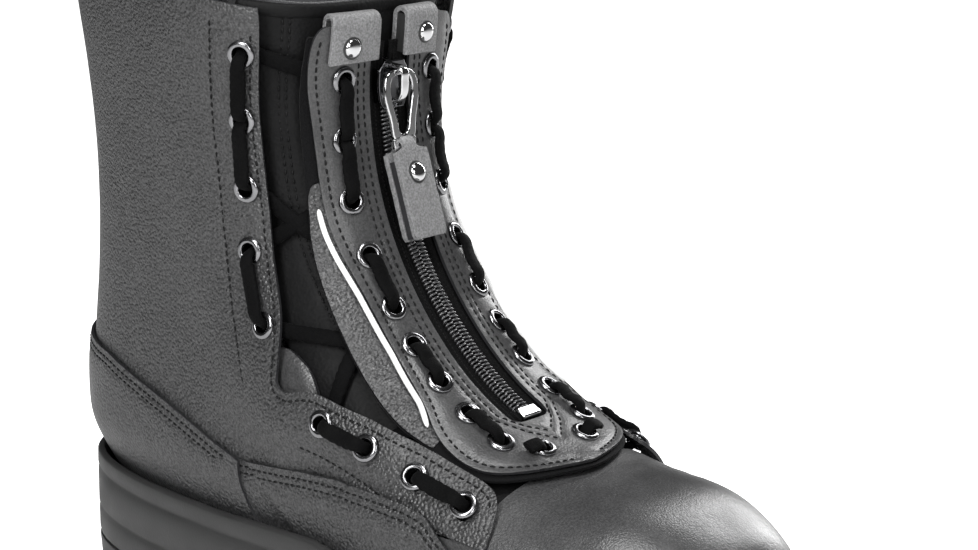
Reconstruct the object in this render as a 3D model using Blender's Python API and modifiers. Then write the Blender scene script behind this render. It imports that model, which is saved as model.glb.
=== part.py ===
"""Lace-up fire boot for the right foot, with a zip insert laced into its front.

World units are metres, +Z up, the toe towards -Y and the outer (lateral) side towards -X.
Every leather piece is a patch of one foot shape, so a place on the boot is given in millimetres as
  s     how far down the front ridge from the top edge,
  g     how far round from the ridge, negative on the outer side,
  lift  how far out from the foot shape.
"""

import math

import bmesh
import bpy
import numpy as np

MM = 0.001
NAME = "fire_boot"
CENTRE = (1.767, -0.984)  # x, y in mm that become the world's origin

# ---- The zip's curve: an arc in the plane x = 0, whose centre lies in front of the shin
ARC_Y, ARC_Z, ARC_R = -108.5, 195.0, 125.0


def on_arc(degrees):
    """(y, z) of the ridge where the arc has turned this far below its centre's level."""
    a = math.radians(degrees)
    return ARC_Y + ARC_R * math.cos(a), ARC_Z - ARC_R * math.sin(a)


# ---- The foot shape's sections, from the toe to the collar: front point, back point, half width,
# where along it is widest, how square its front and its back are, and its centre's x
SECTIONS = [
    ((-148, 34), (-148, 26), 4, 0.60, 2.0, 2.6, 10),
    ((-144.5, 47), (-144.5, 25), 18, 0.60, 2.1, 3.0, 9.5),
    ((-137, 57), (-137, 24), 29, 0.62, 2.2, 3.4, 9),
    ((-125, 63.5), (-125, 23), 39, 0.64, 2.4, 3.6, 8),
    (on_arc(90), (-107, 22), 46, 0.68, 2.7, 3.8, 6.5),
    (on_arc(78.5), (-85, 21), 49.5, 0.72, 3.0, 3.8, 4),
    (on_arc(67), (-60, 21), 50, 0.74, 3.0, 3.8, 1.5),
    (on_arc(54.5), (-32, 23), 49.5, 0.74, 3.0, 3.8, 0),
    (on_arc(42.5), (0, 27), 48.5, 0.72, 3.0, 3.6, 0),
    (on_arc(32.5), (45, 31), 46.5, 0.64, 3.3, 3.4, 0),
    (on_arc(25), (100, 33), 43.5, 0.56, 3.4, 3.0, 0),
    (on_arc(19), (141, 48), 41, 0.50, 3.5, 2.5, 0),
    (on_arc(12.5), (144, 90), 41, 0.48, 3.6, 2.3, 0),
    (on_arc(4), (137, 135), 43, 0.48, 3.6, 2.3, 0),
    (on_arc(-3), (135, 180), 46, 0.49, 3.6, 2.3, 0),
    (on_arc(-9.5), (138, 220), 50, 0.50, 3.6, 2.3, 0),
    ((14, 226), (140, 250), 52, 0.50, 3.6, 2.3, 0),
]

# ---- Lifts of the layers (mm)
LINING = (-6.3, -4.3)
INNER = (-2.5, -1.2)
TONGUE = (-2.2, -0.3)
VAMP = (0.1, 1.9)
LACE_LIFT = 2.0
BACKING = (3.7, 4.5)
STAY = (3.9, 4.5)
PANEL = (5.6, 7.0)
FLANGE = (7.4, 8.4)
TOP_LACE = 10.6

# ---- Eyelets and laces (mm)
PANEL_EYELETS = [(25, 20.5), (46.5, 20.5), (67.5, 20.5), (88, 20.5), (108, 20.5), (123.5, 20.5),
                 (140, 20.5), (156, 20.5), (172, 20.5)]
END_EYELET = (182, 11)
FACING_EYELETS = [(14, 51), (32, 50), (51, 51), (67.5, 54.5), (87, 59), (117.5, 58.5),
                  (136.5, 51), (158, 46.5), (179, 44.5)]
HOLE_R = 3.8
BARREL_R, BORE_R, FLANGE_R = 3.2, 2.6, 4.6
LACE_R = 1.4

# ---- Outlines, as (s, |g|)
PANEL_EDGE = [(5, 26), (8, 31), (14, 32.5), (24, 32), (40, 29.5), (60, 28.5), (98, 27), (122, 27),
              (143, 29), (153, 33), (163, 35), (174, 34.5), (182, 31), (189, 23), (193, 14), (195, 6)]
BACKING_EDGE = [(10, 33), (24, 33.5), (60, 32), (80, 35), (110, 39), (140, 40), (155, 37.5),
                (165, 36.5), (175, 36), (183, 32.5), (190, 24.5), (194, 15.5), (196.5, 6)]
FACING_EDGE = [(0, 47.5), (7, 46.5), (36, 44), (57, 44), (65, 45), (82, 48.5), (89, 51.5), (94, 56.5),
               (97.5, 62.5), (99.5, 66), (102.8, 64.5), (107.5, 57.3), (112.5, 53.3), (122, 49),
               (132.5, 44.5), (140, 42.5), (156, 38), (172, 36), (181.5, 35.5), (186.5, 37),
               (189.5, 40.5), (191, 46)]
ZIP_GAP = 9.5
ZIP_TOP, ZIP_END = 14.0, 168.0
THROAT = 188.0

# ---- Heights over the ground along the boot, as (y, z)
SOLE_TOP = [(-170, 38), (-125, 35), (-60, 33), (-34, 34), (-25, 40), (-18, 48), (-5, 50.5), (15, 50),
            (45, 48.5), (90, 48), (170, 49)]
COUNTER_TOP = [(3, 40), (8, 47), (12.5, 51.4), (17.4, 55.9), (22.9, 60.6), (27, 64.9), (33, 68.7),
               (43, 71.4), (70, 80), (110, 92), (170, 98)]
QUARTER_FOOT = [(-90, 53), (-75, 58), (-66, 61.8), (-50, 67), (-42, 69.3), (-29, 71.3), (-14, 73.2),
                (1, 73), (33, 70), (43, 72.3), (70, 81), (110, 93), (170, 99)]
WING_TOP = [(-74, 27), (-70, 40), (-66, 50), (-59.6, 58), (-50, 65.5), (-42, 68.2), (-29, 70.2),
            (-14, 72.1), (1, 71.9), (33, 69)]
FEATHER = [(-170, 32), (-125, 29), (-60, 27), (-34, 28), (-25, 34), (-18, 43), (-5, 45), (15, 43.5),
           (45, 41), (90, 40), (115, 41), (170, 43)]  # where the upper ends, inside the sole's rim
GROUND = [(-170, 13), (-150, 9), (-128, 3), (-108, 0), (-15, 0), (5, 5), (50, 8), (54, 0), (135, 0),
          (150, 3), (170, 5)]
TREAD_TOP = [(-170, 21), (-150, 17), (-120, 11), (-100, 9.3), (-15, 9.3), (10, 13), (60, 15), (170, 15)]
WALL = 3.4

# ---- Slider, pull and end caps (mm)
SLIDER = (20.0, 38.0)
CROWN = (21.5, 36.5)
PIVOT = (24.2, 11.3)  # s and lift of the link's upper bar, inside the crown
TAB_PIVOT = (53.0, 11.7)  # s and lift of the link's lower bar, inside the tab's fold
TAB_END = (88.0, 11.6)
TAB_HALF = 7.9
FOLD_HALF = 2.7  # the tab is cut narrow where it passes through the link

# ---- Colours: (red, green, blue), roughness, metallic
LEATHER = ((0.02, 0.02, 0.021), 0.42, 0.0)
SMOOTH_LEATHER = ((0.026, 0.026, 0.027), 0.36, 0.0)
CLOTH = ((0.014, 0.014, 0.015), 0.9, 0.0)
FLEECE = ((0.24, 0.24, 0.25), 0.95, 0.0)
RUBBER = ((0.018, 0.018, 0.018), 0.5, 0.0)
FOAM = ((0.3, 0.3, 0.31), 0.95, 0.0)
BOARD = ((0.34, 0.26, 0.17), 0.85, 0.0)
STEEL = ((0.55, 0.56, 0.57), 0.3, 1.0)
CHROME = ((0.8, 0.8, 0.81), 0.1, 1.0)
GUNMETAL = ((0.12, 0.12, 0.125), 0.28, 1.0)
COIL = ((0.03, 0.03, 0.032), 0.2, 0.0)
WHITE = ((0.86, 0.86, 0.85), 0.45, 0.0)


# ---------------------------------------------------------------- the foot shape

def along(points, value):
    """Straight-line lookup in an outline of (place, size) pairs."""
    xs, ys = zip(*points)
    return np.interp(value, xs, ys)


def step(value, low, high):
    """0 below low, 1 above high, smooth between."""
    t = np.clip((np.asarray(value, float) - low) / (high - low), 0, 1)
    return t * t * (3 - 2 * t)


def natural_spline(knots, rows, wanted):
    """Cubic spline through the rows at the knots, without curvature at its ends."""
    n = len(knots)
    gap = np.diff(knots)
    system = np.zeros((n, n))
    right = np.zeros((n,) + rows.shape[1:])
    system[0, 0] = system[-1, -1] = 1
    for i in range(1, n - 1):
        system[i, i - 1 : i + 2] = gap[i - 1], 2 * (gap[i - 1] + gap[i]), gap[i]
        right[i] = 3 * ((rows[i + 1] - rows[i]) / gap[i] - (rows[i] - rows[i - 1]) / gap[i - 1])
    bend = np.linalg.solve(system, right)
    i = np.clip(np.searchsorted(knots, wanted) - 1, 0, n - 2)
    t = (wanted - knots[i])[:, None]
    h = gap[i][:, None]
    slope = (rows[i + 1] - rows[i]) / h - h * (2 * bend[i] + bend[i + 1]) / 3
    return rows[i] + slope * t + bend[i] * t**2 + (bend[i + 1] - bend[i]) / (3 * h) * t**3


class FootShape:
    """The smooth surface through SECTIONS, read by (s, g)."""

    ROWS, ROUND = 160, 101

    def __init__(self):
        table = np.array([(*f, *b, w, m, nf, nb, x) for f, b, w, m, nf, nb, x in SECTIONS], float)
        front = np.linalg.norm(np.diff(table[:, 0:2], axis=0), axis=1)
        back = np.linalg.norm(np.diff(table[:, 2:4], axis=0), axis=1)
        knots = np.concatenate([[0], np.cumsum((front + back) / 2)])
        rows = natural_spline(knots, table, np.linspace(0, knots[-1], self.ROWS))
        turn = np.linspace(0, math.pi, 181)
        cosine, sine = np.abs(np.cos(turn)), np.abs(np.sin(turn))
        share = np.linspace(0, 1, self.ROUND)
        self.half = np.empty((self.ROWS, self.ROUND, 3))
        self.girth = np.empty(self.ROWS)
        for i, (fy, fz, by, bz, wide, widest, nf, nb, _) in enumerate(rows):
            ahead = turn <= math.pi / 2
            depth = np.where(ahead, widest * (1 - cosine ** (2 / nf)),
                             widest + (1 - widest) * cosine ** (2 / nb))
            x = wide * np.where(ahead, sine ** (2 / nf), sine ** (2 / nb))
            outline = np.stack([x, fy + (by - fy) * depth, fz + (bz - fz) * depth], -1)
            length = np.concatenate([[0], np.cumsum(np.linalg.norm(np.diff(outline, axis=0), axis=1))])
            self.girth[i] = length[-1]
            for axis in range(3):
                self.half[i, :, axis] = np.interp(share * length[-1], length, outline[:, axis])
        self.centre = rows[:, 8]
        self.front, self.back = rows[:, 0:2], rows[:, 2:4]
        down = np.concatenate([[0], np.cumsum(np.linalg.norm(np.diff(self.front, axis=0), axis=1))])
        self.s = down[-1] - down
        self.row_gap = knots[-1] / (self.ROWS - 1)
        self.toe = self.s[0]

    def row(self, s):
        return np.interp(-np.asarray(s, float), -self.s, np.arange(self.ROWS))

    def between(self, start, end, gap):
        """Values of s from start to end, about this far apart at the row's middle."""
        first, last = float(self.row(start)), float(self.row(end))
        count = max(2, round((first - last) * self.row_gap / gap) + 1)
        return np.interp(np.linspace(first, last, count), np.arange(self.ROWS), self.s)

    def full_girth(self, s):
        return np.interp(self.row(s), np.arange(self.ROWS), self.girth)

    def s_of_back(self, y):
        """The s of the row whose back point lies at y under the foot."""
        last = int(np.argmax(self.back[:, 0] > 138))
        return np.interp(y, self.back[: last + 1, 0], self.s[: last + 1])

    def s_of_back_height(self, z):
        """The s of the row whose back point is this high on the heel."""
        first = int(np.argmax(self.back[:, 0] > 110))
        return np.interp(z, self.back[first:, 1], self.s[first:])

    def on_row(self, row, g):
        row = np.clip(row, 0, self.ROWS - 1.001)
        i = np.floor(row).astype(int)
        f = row - i
        girth = self.girth[i] * (1 - f) + self.girth[i + 1] * f
        place = np.clip(np.abs(g) / girth, 0, 1) * (self.ROUND - 1)
        j = np.minimum(np.floor(place).astype(int), self.ROUND - 2)
        e = (place - j)[..., None]
        f = f[..., None]
        low = self.half[i, j] * (1 - e) + self.half[i, j + 1] * e
        high = self.half[i + 1, j] * (1 - e) + self.half[i + 1, j + 1] * e
        point = low * (1 - f) + high * f
        side = np.where(np.asarray(g) < 0, -1.0, 1.0)
        centre = self.centre[i] * (1 - f[..., 0]) + self.centre[i + 1] * f[..., 0]
        point[..., 0] = side * point[..., 0] + centre
        return point

    def point(self, s, g, lift=0.0):
        """Places in mm. s, g and lift may be arrays of one shape."""
        s, g, lift = np.broadcast_arrays(np.asarray(s, float), np.asarray(g, float), lift)
        row = self.row(s)
        return self.on_row(row, g) + self.normal(row, g) * lift[..., None]

    def normal(self, row, g):
        girth = np.interp(row, np.arange(self.ROWS), self.girth)
        inside = np.clip(g, 1.5 - girth, girth - 1.5)
        below = self.on_row(np.clip(row - 1.5, 0, None), inside)
        above = self.on_row(np.clip(row + 1.5, None, self.ROWS - 1), inside)
        around = self.on_row(row, inside + 1.4) - self.on_row(row, inside - 1.4)
        normal = np.cross(around, above - below)
        # at the ridge and the back line the two sides mirror each other
        flat = (np.abs(np.abs(g) - girth) < 1e-6) | (np.abs(g) < 1e-6)
        normal[..., 0] = np.where(flat, 0, normal[..., 0])
        return normal / (np.linalg.norm(normal, axis=-1, keepdims=True) + 1e-12)

    def g_where(self, s, heights, offset=0.0):
        """How far round the row at s first comes down to heights(y), at most to its back point."""
        girth = float(self.full_girth(s))
        g = np.linspace(1.0, girth, 400)
        p = self.on_row(np.full(g.shape, float(self.row(s))), g)
        under = p[:, 2] < along(heights, p[:, 1]) + offset
        return float(g[np.argmax(under)]) if under.any() else girth


FOOT = FootShape()


class Walls:
    """The lower walls of the foot shape, read by (d, z): d is how far round from the heel's back line."""

    HEIGHTS = np.arange(30.0, 112.0, 2.0)
    SAMPLES = 240

    def __init__(self):
        self.rows, self.gs, self.length = [], [], []
        steps = np.arange(0, FOOT.ROWS - 1, 0.5)
        g_share = np.linspace(0, 1, 300)
        for z in self.HEIGHTS:
            rows, gs, points = [], [], []
            for row in steps:
                girth = float(np.interp(row, np.arange(FOOT.ROWS), FOOT.girth))
                p = FOOT.on_row(np.full(g_share.shape, row), g_share * girth)
                if p[0, 2] < z or p[-1, 2] > z:
                    continue
                share = np.interp(-z, -p[:, 2], g_share)
                rows.append(row)
                gs.append(share * girth)
                points.append([np.interp(share, g_share, p[:, axis]) for axis in range(2)])
            rows, gs, points = np.array(rows[::-1]), np.array(gs[::-1]), np.array(points[::-1])
            points[:, 0] -= np.interp(rows, np.arange(FOOT.ROWS), FOOT.centre)
            # the first sample lies just beside the back line, so its distance to x = 0 counts too
            d = abs(points[0, 0]) + np.concatenate(
                [[0], np.cumsum(np.linalg.norm(np.diff(points, axis=0), axis=1))])
            back_row = float(FOOT.row(FOOT.s_of_back_height(z)))
            d, rows = np.append(0, d), np.append(back_row, rows)
            gs = np.append(np.interp(back_row, np.arange(FOOT.ROWS), FOOT.girth), gs)
            even = np.linspace(0, d[-1], self.SAMPLES)
            self.rows.append(np.interp(even, d, rows))
            self.gs.append(np.interp(even, d, gs))
            self.length.append(d[-1])
        self.rows, self.gs, self.length = map(np.array, (self.rows, self.gs, self.length))

    def locate(self, d, z):
        d, z = np.broadcast_arrays(np.asarray(d, float), np.asarray(z, float))
        level = np.clip((z - self.HEIGHTS[0]) / 2, 0, len(self.HEIGHTS) - 1.001)
        k = np.floor(level).astype(int)
        f = level - k
        found = []
        for table in (self.rows, self.gs):
            ends = []
            for n in (k, k + 1):
                place = np.clip(np.abs(d) / self.length[n], 0, 1) * (self.SAMPLES - 1)
                i = np.minimum(np.floor(place).astype(int), self.SAMPLES - 2)
                ends.append(table[n, i] * (1 - (place - i)) + table[n, i + 1] * (place - i))
            found.append(ends[0] * (1 - f) + ends[1] * f)
        return found[0], found[1] * np.where(d < 0, -1.0, 1.0)

    def point(self, d, z, lift=0.0):
        row, g = self.locate(d, z)
        lift = np.broadcast_to(np.asarray(lift, float), row.shape)
        return FOOT.on_row(row, g) + FOOT.normal(row, g) * lift[..., None]


WALLS = Walls()


# ---------------------------------------------------------------- making objects

def clear_scene():
    for thing in list(bpy.data.objects):
        bpy.data.objects.remove(thing, do_unlink=True)


clear_scene()
PARTS = bpy.data.collections.new(NAME)
CUTTERS = bpy.data.collections.new(NAME + "_cutters")
for made in (PARTS, CUTTERS):
    bpy.context.scene.collection.children.link(made)
CUTTERS.hide_render = True
PAINTS = {}


def paint(colour):
    if colour not in PAINTS:
        material = bpy.data.materials.new(f"finish_{len(PAINTS) + 1}")
        material.use_nodes = True
        shader = material.node_tree.nodes["Principled BSDF"]
        shader.inputs["Base Color"].default_value = (*colour[0], 1)
        shader.inputs["Roughness"].default_value = colour[1]
        shader.inputs["Metallic"].default_value = colour[2]
        PAINTS[colour] = material
    return PAINTS[colour]


def to_world(points):
    return (np.asarray(points, float) - (CENTRE[0], CENTRE[1], 0)) * MM


def add_object(name, points, faces, colour, smooth=True):
    """A mesh object from places in mm."""
    mesh = bpy.data.meshes.new(name)
    mesh.from_pydata([tuple(p) for p in to_world(points)], [], faces)
    if smooth:
        mesh.shade_smooth()
        mesh.set_sharp_from_angle(angle=math.radians(40))
    thing = bpy.data.objects.new(name, mesh)
    if colour is None:
        thing.display_type = "WIRE"
        thing.hide_render = True
        CUTTERS.objects.link(thing)
    else:
        mesh.materials.append(paint(colour))
        PARTS.objects.link(thing)
    return thing


def thicken(thing, thickness):
    solid = thing.modifiers.new("thickness", "SOLIDIFY")
    solid.thickness = thickness * MM
    solid.offset = 1.0
    return thing


def combine(thing, other, operation):
    join = thing.modifiers.new(other.name, "BOOLEAN")
    join.operation = operation
    join.solver = "EXACT"
    join.object = other
    return thing


def grid(rows, columns, keep=None):
    """Quads of a grid of points, row by row, facing out when s runs down and g runs to the inner side."""
    return [
        (i * columns + j, (i + 1) * columns + j, (i + 1) * columns + j + 1, i * columns + j + 1)
        for i in range(rows - 1)
        for j in range(columns - 1)
        if keep is None or keep(i, j)
    ]


def used_only(points, faces):
    used = sorted({n for face in faces for n in face})
    new = {old: n for n, old in enumerate(used)}
    return [points[n] for n in used], [tuple(new[n] for n in face) for face in faces]


def shell(name, points, faces, thickness, colour):
    points, faces = used_only(points, faces)
    return thicken(add_object(name, points, faces, colour), thickness)


def patch(name, rows, edges, columns, lifts, colour, close_end=False, keep=None):
    """A leather patch: at each s in rows it runs from edges(s)[0] to edges(s)[1]."""
    low, high = lifts if isinstance(lifts, tuple) else (lifts, None)
    points = []
    for s in rows:
        start, end = edges(s)
        g = np.linspace(start, end, columns)
        bottom = low(s, g) if callable(low) else low
        points.extend(FOOT.point(np.full(columns, s), g, bottom))
    faces = grid(len(rows), columns, keep)
    if close_end:
        last = (len(rows) - 1) * columns
        faces.append(tuple(range(last, last + columns))[::-1])
    return shell(name, points, faces, (high if not callable(low) else high), colour)


def wall_patch(name, reach, columns, rows, heights, lift, thickness, colour):
    """A patch round the heel, from -reach to reach; heights(y) gives its lowest and highest z."""
    points = []
    ds = np.linspace(-reach, reach, columns)
    ys = WALLS.point(ds, np.full(columns, 55.0))[:, 1]
    for share in np.linspace(1, 0, rows):
        z = np.array([heights(y)[0] + share * (heights(y)[1] - heights(y)[0]) for y in ys])
        points.extend(WALLS.point(ds, z, lift(z) if callable(lift) else lift))
    # from the back, running from the outer to the inner side is the other way round
    faces = [face[::-1] for face in grid(rows, columns)]
    return shell(name, points, faces, thickness, colour)


def back_patch(name, rows, half, columns, lift, thickness, colour):
    """A patch across the back line (or the bottom line) of the foot shape."""
    points = []
    for s in rows:
        c = np.linspace(-half(s), half(s), columns)
        g = np.where(c < 0, -1.0, 1.0) * (FOOT.full_girth(s) - np.abs(c))
        points.extend(FOOT.point(np.full(columns, s), g, lift))
    faces = [face[::-1] for face in grid(len(rows), columns)]
    return shell(name, points, faces, thickness, colour)


def swept(name, profile, gs, colour, centre=0.0):
    """A closed outline of (s, lift) carried round the boot through the places gs."""
    n = len(profile)
    s = np.array([p[0] for p in profile], float)
    lift = np.array([p[1] for p in profile], float)
    points = []
    for g in gs:
        points.extend(FOOT.point(s, np.full(n, g + centre), lift))
    faces = [tuple(range(n)), tuple(range(len(points) - n, len(points)))[::-1]]
    for i in range(len(gs) - 1):
        for j in range(n):
            k = (j + 1) % n
            faces.append((i * n + j, (i + 1) * n + j, (i + 1) * n + k, i * n + k))
    thing = add_object(name, points, faces, colour, smooth=False)
    outward(thing)
    return thing


def outward(thing):
    """Turns a closed mesh's faces outwards."""
    bm = bmesh.new()
    bm.from_mesh(thing.data)
    bmesh.ops.recalc_face_normals(bm, faces=bm.faces)
    if bm.calc_volume(signed=True) < 0:
        bmesh.ops.reverse_faces(bm, faces=bm.faces)
    bm.to_mesh(thing.data)
    bm.free()


def turned(profile, segments, s, g):
    """Points and faces of a ring or knob: a closed outline of (radius, lift) turned about the normal."""
    base = FOOT.point(s, g, 0.0)
    axis = FOOT.normal(FOOT.row(s), np.asarray(float(g)))
    across = np.cross(axis, (0, 0, 1.0))
    across /= np.linalg.norm(across)
    other = np.cross(axis, across)
    points, faces = [], []
    rim = len(profile)
    for k in range(segments):
        a = 2 * math.pi * k / segments
        ray = across * math.cos(a) + other * math.sin(a)
        for radius, lift in profile:
            points.append(base + axis * lift + ray * radius)
    for k in range(segments):
        m = (k + 1) % segments
        for j in range(rim):
            n = (j + 1) % rim
            faces.append((k * rim + j, k * rim + n, m * rim + n, m * rim + j))
    return points, faces


def turned_group(name, profile, segments, places, colour):
    points, faces = [], []
    for s, g in places:
        some, quads = turned(profile, segments, s, g)
        faces += [tuple(n + len(points) for n in quad) for quad in quads]
        points += some
    thing = add_object(name, points, faces, colour)
    bm = bmesh.new()
    bm.from_mesh(thing.data)
    bmesh.ops.remove_doubles(bm, verts=bm.verts, dist=1e-6)
    bmesh.ops.recalc_face_normals(bm, faces=bm.faces)
    bm.to_mesh(thing.data)
    bm.free()
    return thing


def drill(name, radius, places, low=-4.0, high=14.0, around=8):
    """Round cutters through the leather at these places."""
    bore = [(0.0, low), (radius, low), (radius, high), (0.0, high)]
    points, faces = [], []
    for s, g in places:
        some, _ = turned(bore[1:3], around, s, g)
        start = len(points)
        points += some
        faces.append(tuple(start + 2 * k for k in range(around)))
        faces.append(tuple(start + 2 * k + 1 for k in range(around))[::-1])
        for k in range(around):
            m = (k + 1) % around
            faces.append((start + 2 * k, start + 2 * k + 1, start + 2 * m + 1, start + 2 * m))
    thing = add_object(name, points, faces, None)
    bm = bmesh.new()
    bm.from_mesh(thing.data)
    bmesh.ops.recalc_face_normals(bm, faces=bm.faces)
    bm.to_mesh(thing.data)
    bm.free()
    return thing


def sided(places, side):
    return [(s, g * side) for s, g in places]


SIDES = (("lateral", -1), ("medial", 1))


def spread(start, end, gap):
    """Even steps of about this gap, ends included."""
    return np.linspace(start, end, max(2, round((end - start) / gap) + 1))


# ---------------------------------------------------------------- the upper

def make_lining():
    heel_top, heel_end = float(FOOT.s_of_back_height(88)), float(FOOT.s_of_back(80))
    rows = np.concatenate([FOOT.between(3, heel_top, 20)[:-1], FOOT.between(heel_top, heel_end, 11)[:-1],
                           FOOT.between(heel_end, 250, 19), [FOOT.toe - 22]])
    half = np.array([0, 0.12, 0.24, 0.35, 0.46, 0.58, 0.7, 0.8, 0.9, 1.0])
    around = 2 * len(half) - 2
    points = []
    for s in rows:
        g = np.concatenate([half, -half[-2:0:-1]]) * float(FOOT.full_girth(s))
        points.extend(FOOT.point(np.full(around, s), g, LINING[0]))
    faces = []
    for i in range(len(rows) - 1):
        for j in range(around):
            k = (j + 1) % around
            faces.append((i * around + j, (i + 1) * around + j, (i + 1) * around + k, i * around + k))
    last = (len(rows) - 1) * around
    faces.append(tuple(range(last, last + around))[::-1])
    shell("lining_bootie", points, faces, LINING[1] - LINING[0], FLEECE)


def make_tongue():
    width = [(0, 58), (100, 60), (130, 52), (150, 46), (190, 40)]
    patch("tongue", spread(2, THROAT - 1, 13.4), lambda s: (-along(width, s), along(width, s)), 11,
          (TONGUE[0], TONGUE[1] - TONGUE[0]), LEATHER)


def feather(y):
    return float(along(FEATHER, y))


def make_vamp():
    """Two legs under the quarters' flaps, and the toe below the throat."""
    rows = np.concatenate([spread(152, 176, 12), [THROAT], spread(200, 250, 12.5),
                           [260, 268, 275, FOOT.toe - 6]])
    points = []
    for s in rows:
        reach = FOOT.g_where(s, FEATHER)
        near = min(56.0, reach * 0.65)
        half = np.concatenate([near * np.array([0, 0.25, 0.5, 0.75]), np.linspace(near, reach, 5)])
        g = np.concatenate([-half[:0:-1], half])
        points.extend(FOOT.point(np.full(len(g), s), g, VAMP[0]))
    faces = grid(len(rows), 17, lambda i, j: rows[i] >= THROAT - 0.1 or not 3 < j < 12)
    last = (len(rows) - 1) * 17
    faces.append(tuple(range(last, last + 17))[::-1])
    shell("vamp", points, faces, VAMP[1] - VAMP[0], SMOOTH_LEATHER)


def quarter_lift(s, g):
    """The quarters stand off at the laces and lie close round the heel."""
    return PANEL[0] - 3.2 * step(np.abs(g), 76, 104)


def make_quarter(name, side):
    rows = np.concatenate([FOOT.between(3, 50, 18), [53, 57, 61, 66, 72, 80, 88, 94, 97.5, 99.5, 102.8, 107.5, 112.5],
                           spread(122, 182, 15), [187, 191]])

    def edges(s):
        front = along(FACING_EDGE, s)
        girth = float(FOOT.full_girth(s))
        back = min(FOOT.g_where(s, QUARTER_FOOT), girth - 0.5)
        if back > girth - 0.6:
            back = girth - 0.5
        return (-back, -front) if side < 0 else (front, back)

    quarter = patch("quarter_" + name, rows, edges, 11, (quarter_lift, PANEL[1] - PANEL[0]), LEATHER)
    combine(quarter, drill("facing_holes_" + name, HOLE_R, sided(FACING_EYELETS, side)), "DIFFERENCE")


def low_lift(z):
    """The lower overlays lie on the vamp and the stiffener, and rise to meet the quarters."""
    return 2.2 + 2.0 * step(z, 49, 66)


def make_wing(name, side):
    floor = [(y, z + 5) for y, z in FEATHER if y < -30] + [(-25, 38.5), (-18, 44), (3, 45)] + [
        (y, z + 0.9) for y, z in COUNTER_TOP if 8 <= y <= 33] + [(60, 90)]
    rows = np.concatenate([spread(100, 180, 8), [184.5, 188]])

    def edges(s):
        top, bottom = FOOT.g_where(s, WING_TOP), FOOT.g_where(s, floor)
        bottom = max(bottom, top + 1.5)
        return (-bottom, -top) if side < 0 else (top, bottom)

    def lift(s, g):
        z = FOOT.point(np.full(np.shape(g), s), g)[..., 2]
        return low_lift(z)

    patch("foxing_" + name, rows, edges, 7, (lift, 1.3), LEATHER)


def make_counter():
    wall_patch("heel_counter", 132, 27, 5, lambda y: (feather(y) + 3 + 2 * step(y, 100, 120), max(float(along(COUNTER_TOP, y)),
               feather(y) + 4.5)), low_lift, 1.4, LEATHER)
    wall_patch("heel_stiffener", 88, 17, 4, lambda y: (feather(y) + 2, 84 if y > 60 else 70),
               INNER[0], INNER[1] - INNER[0], BOARD)


def make_back_pieces():
    foot_of_stay = float(FOOT.s_of_back_height(100.5))
    back_patch("back_stay", spread(4, foot_of_stay, 10), lambda s: 9.0, 5, 4.8, 1.4, LEATHER)
    back_patch("collar_pad", spread(5, 35, 7.5), lambda s: float(FOOT.full_girth(s)) - 66, 25,
               -1.9, 3.1, FOAM)
    back_patch("collar_roll", [0.2, 2.5], lambda s: float(FOOT.full_girth(s)) - 62, 25,
               LINING[0] + 0.3, 10.4, SMOOTH_LEATHER)


def make_toe_cap():
    start = float(np.interp(-94, FOOT.front[:, 0], FOOT.s))
    rows = np.concatenate([spread(start, FOOT.toe - 22, 9), [FOOT.toe - 14, FOOT.toe - 8]])
    rim = [(-170, 29), (-60, 27)]

    def edges(s):
        reach = FOOT.g_where(s, rim)
        return -reach, reach

    patch("safety_toe_cap", rows, edges, 15, (INNER[0], INNER[1] - INNER[0]), STEEL, close_end=True)


def make_underfoot():
    def half(wide):
        outline = [(-146, 0.35), (-135, 0.62), (-105, 0.95), (-70, 1.0), (-30, 0.84), (20, 0.72),
                   (70, 0.74), (110, 0.72), (136, 0.45)]
        return lambda s: wide * float(along(outline, np.interp(-s, -FOOT.s, FOOT.back[:, 0])))

    def rows(heel, toe, gap):
        return spread(float(FOOT.s_of_back(heel)), float(FOOT.s_of_back(toe)), gap)

    back_patch("insole_board", rows(110, -136, 14), half(37), 5, -2.2, 1.5, BOARD)
    back_patch("puncture_plate", rows(107, -132, 14), half(35), 5, 0.3, 0.8, STEEL)
    back_patch("shank", rows(92, -18, 8), lambda s: 8.0, 3, 1.9, 1.1, STEEL)
    back_patch("footbed", rows(104, -128, 14), half(32), 5, -11.8, 4.0, CLOTH)


# ---------------------------------------------------------------- the sole

def sole_lift(y):
    """How far the sole's rim stands off the foot shape: less round the toe, where only the vamp is."""
    return 5.4 - 1.7 * step(-y, 78, 96)


def sole_outline():
    """Places (x, y) round the sole, from the heel's back along the outer side to the toe."""
    reach = float(np.interp(38, WALLS.HEIGHTS, WALLS.length))
    ds = np.concatenate([spread(0, 60, 7.5), spread(70, 250, 10), spread(257, reach, 6.5)])
    z = np.interp(ds, [0, 165, 215], [50, 50, 38])
    y = WALLS.point(ds, z)[:, 1]
    lift = sole_lift(y) + WALL
    return [WALLS.point(side * ds, z, lift)[:, :2] for side in (-1, 1)]


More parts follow.
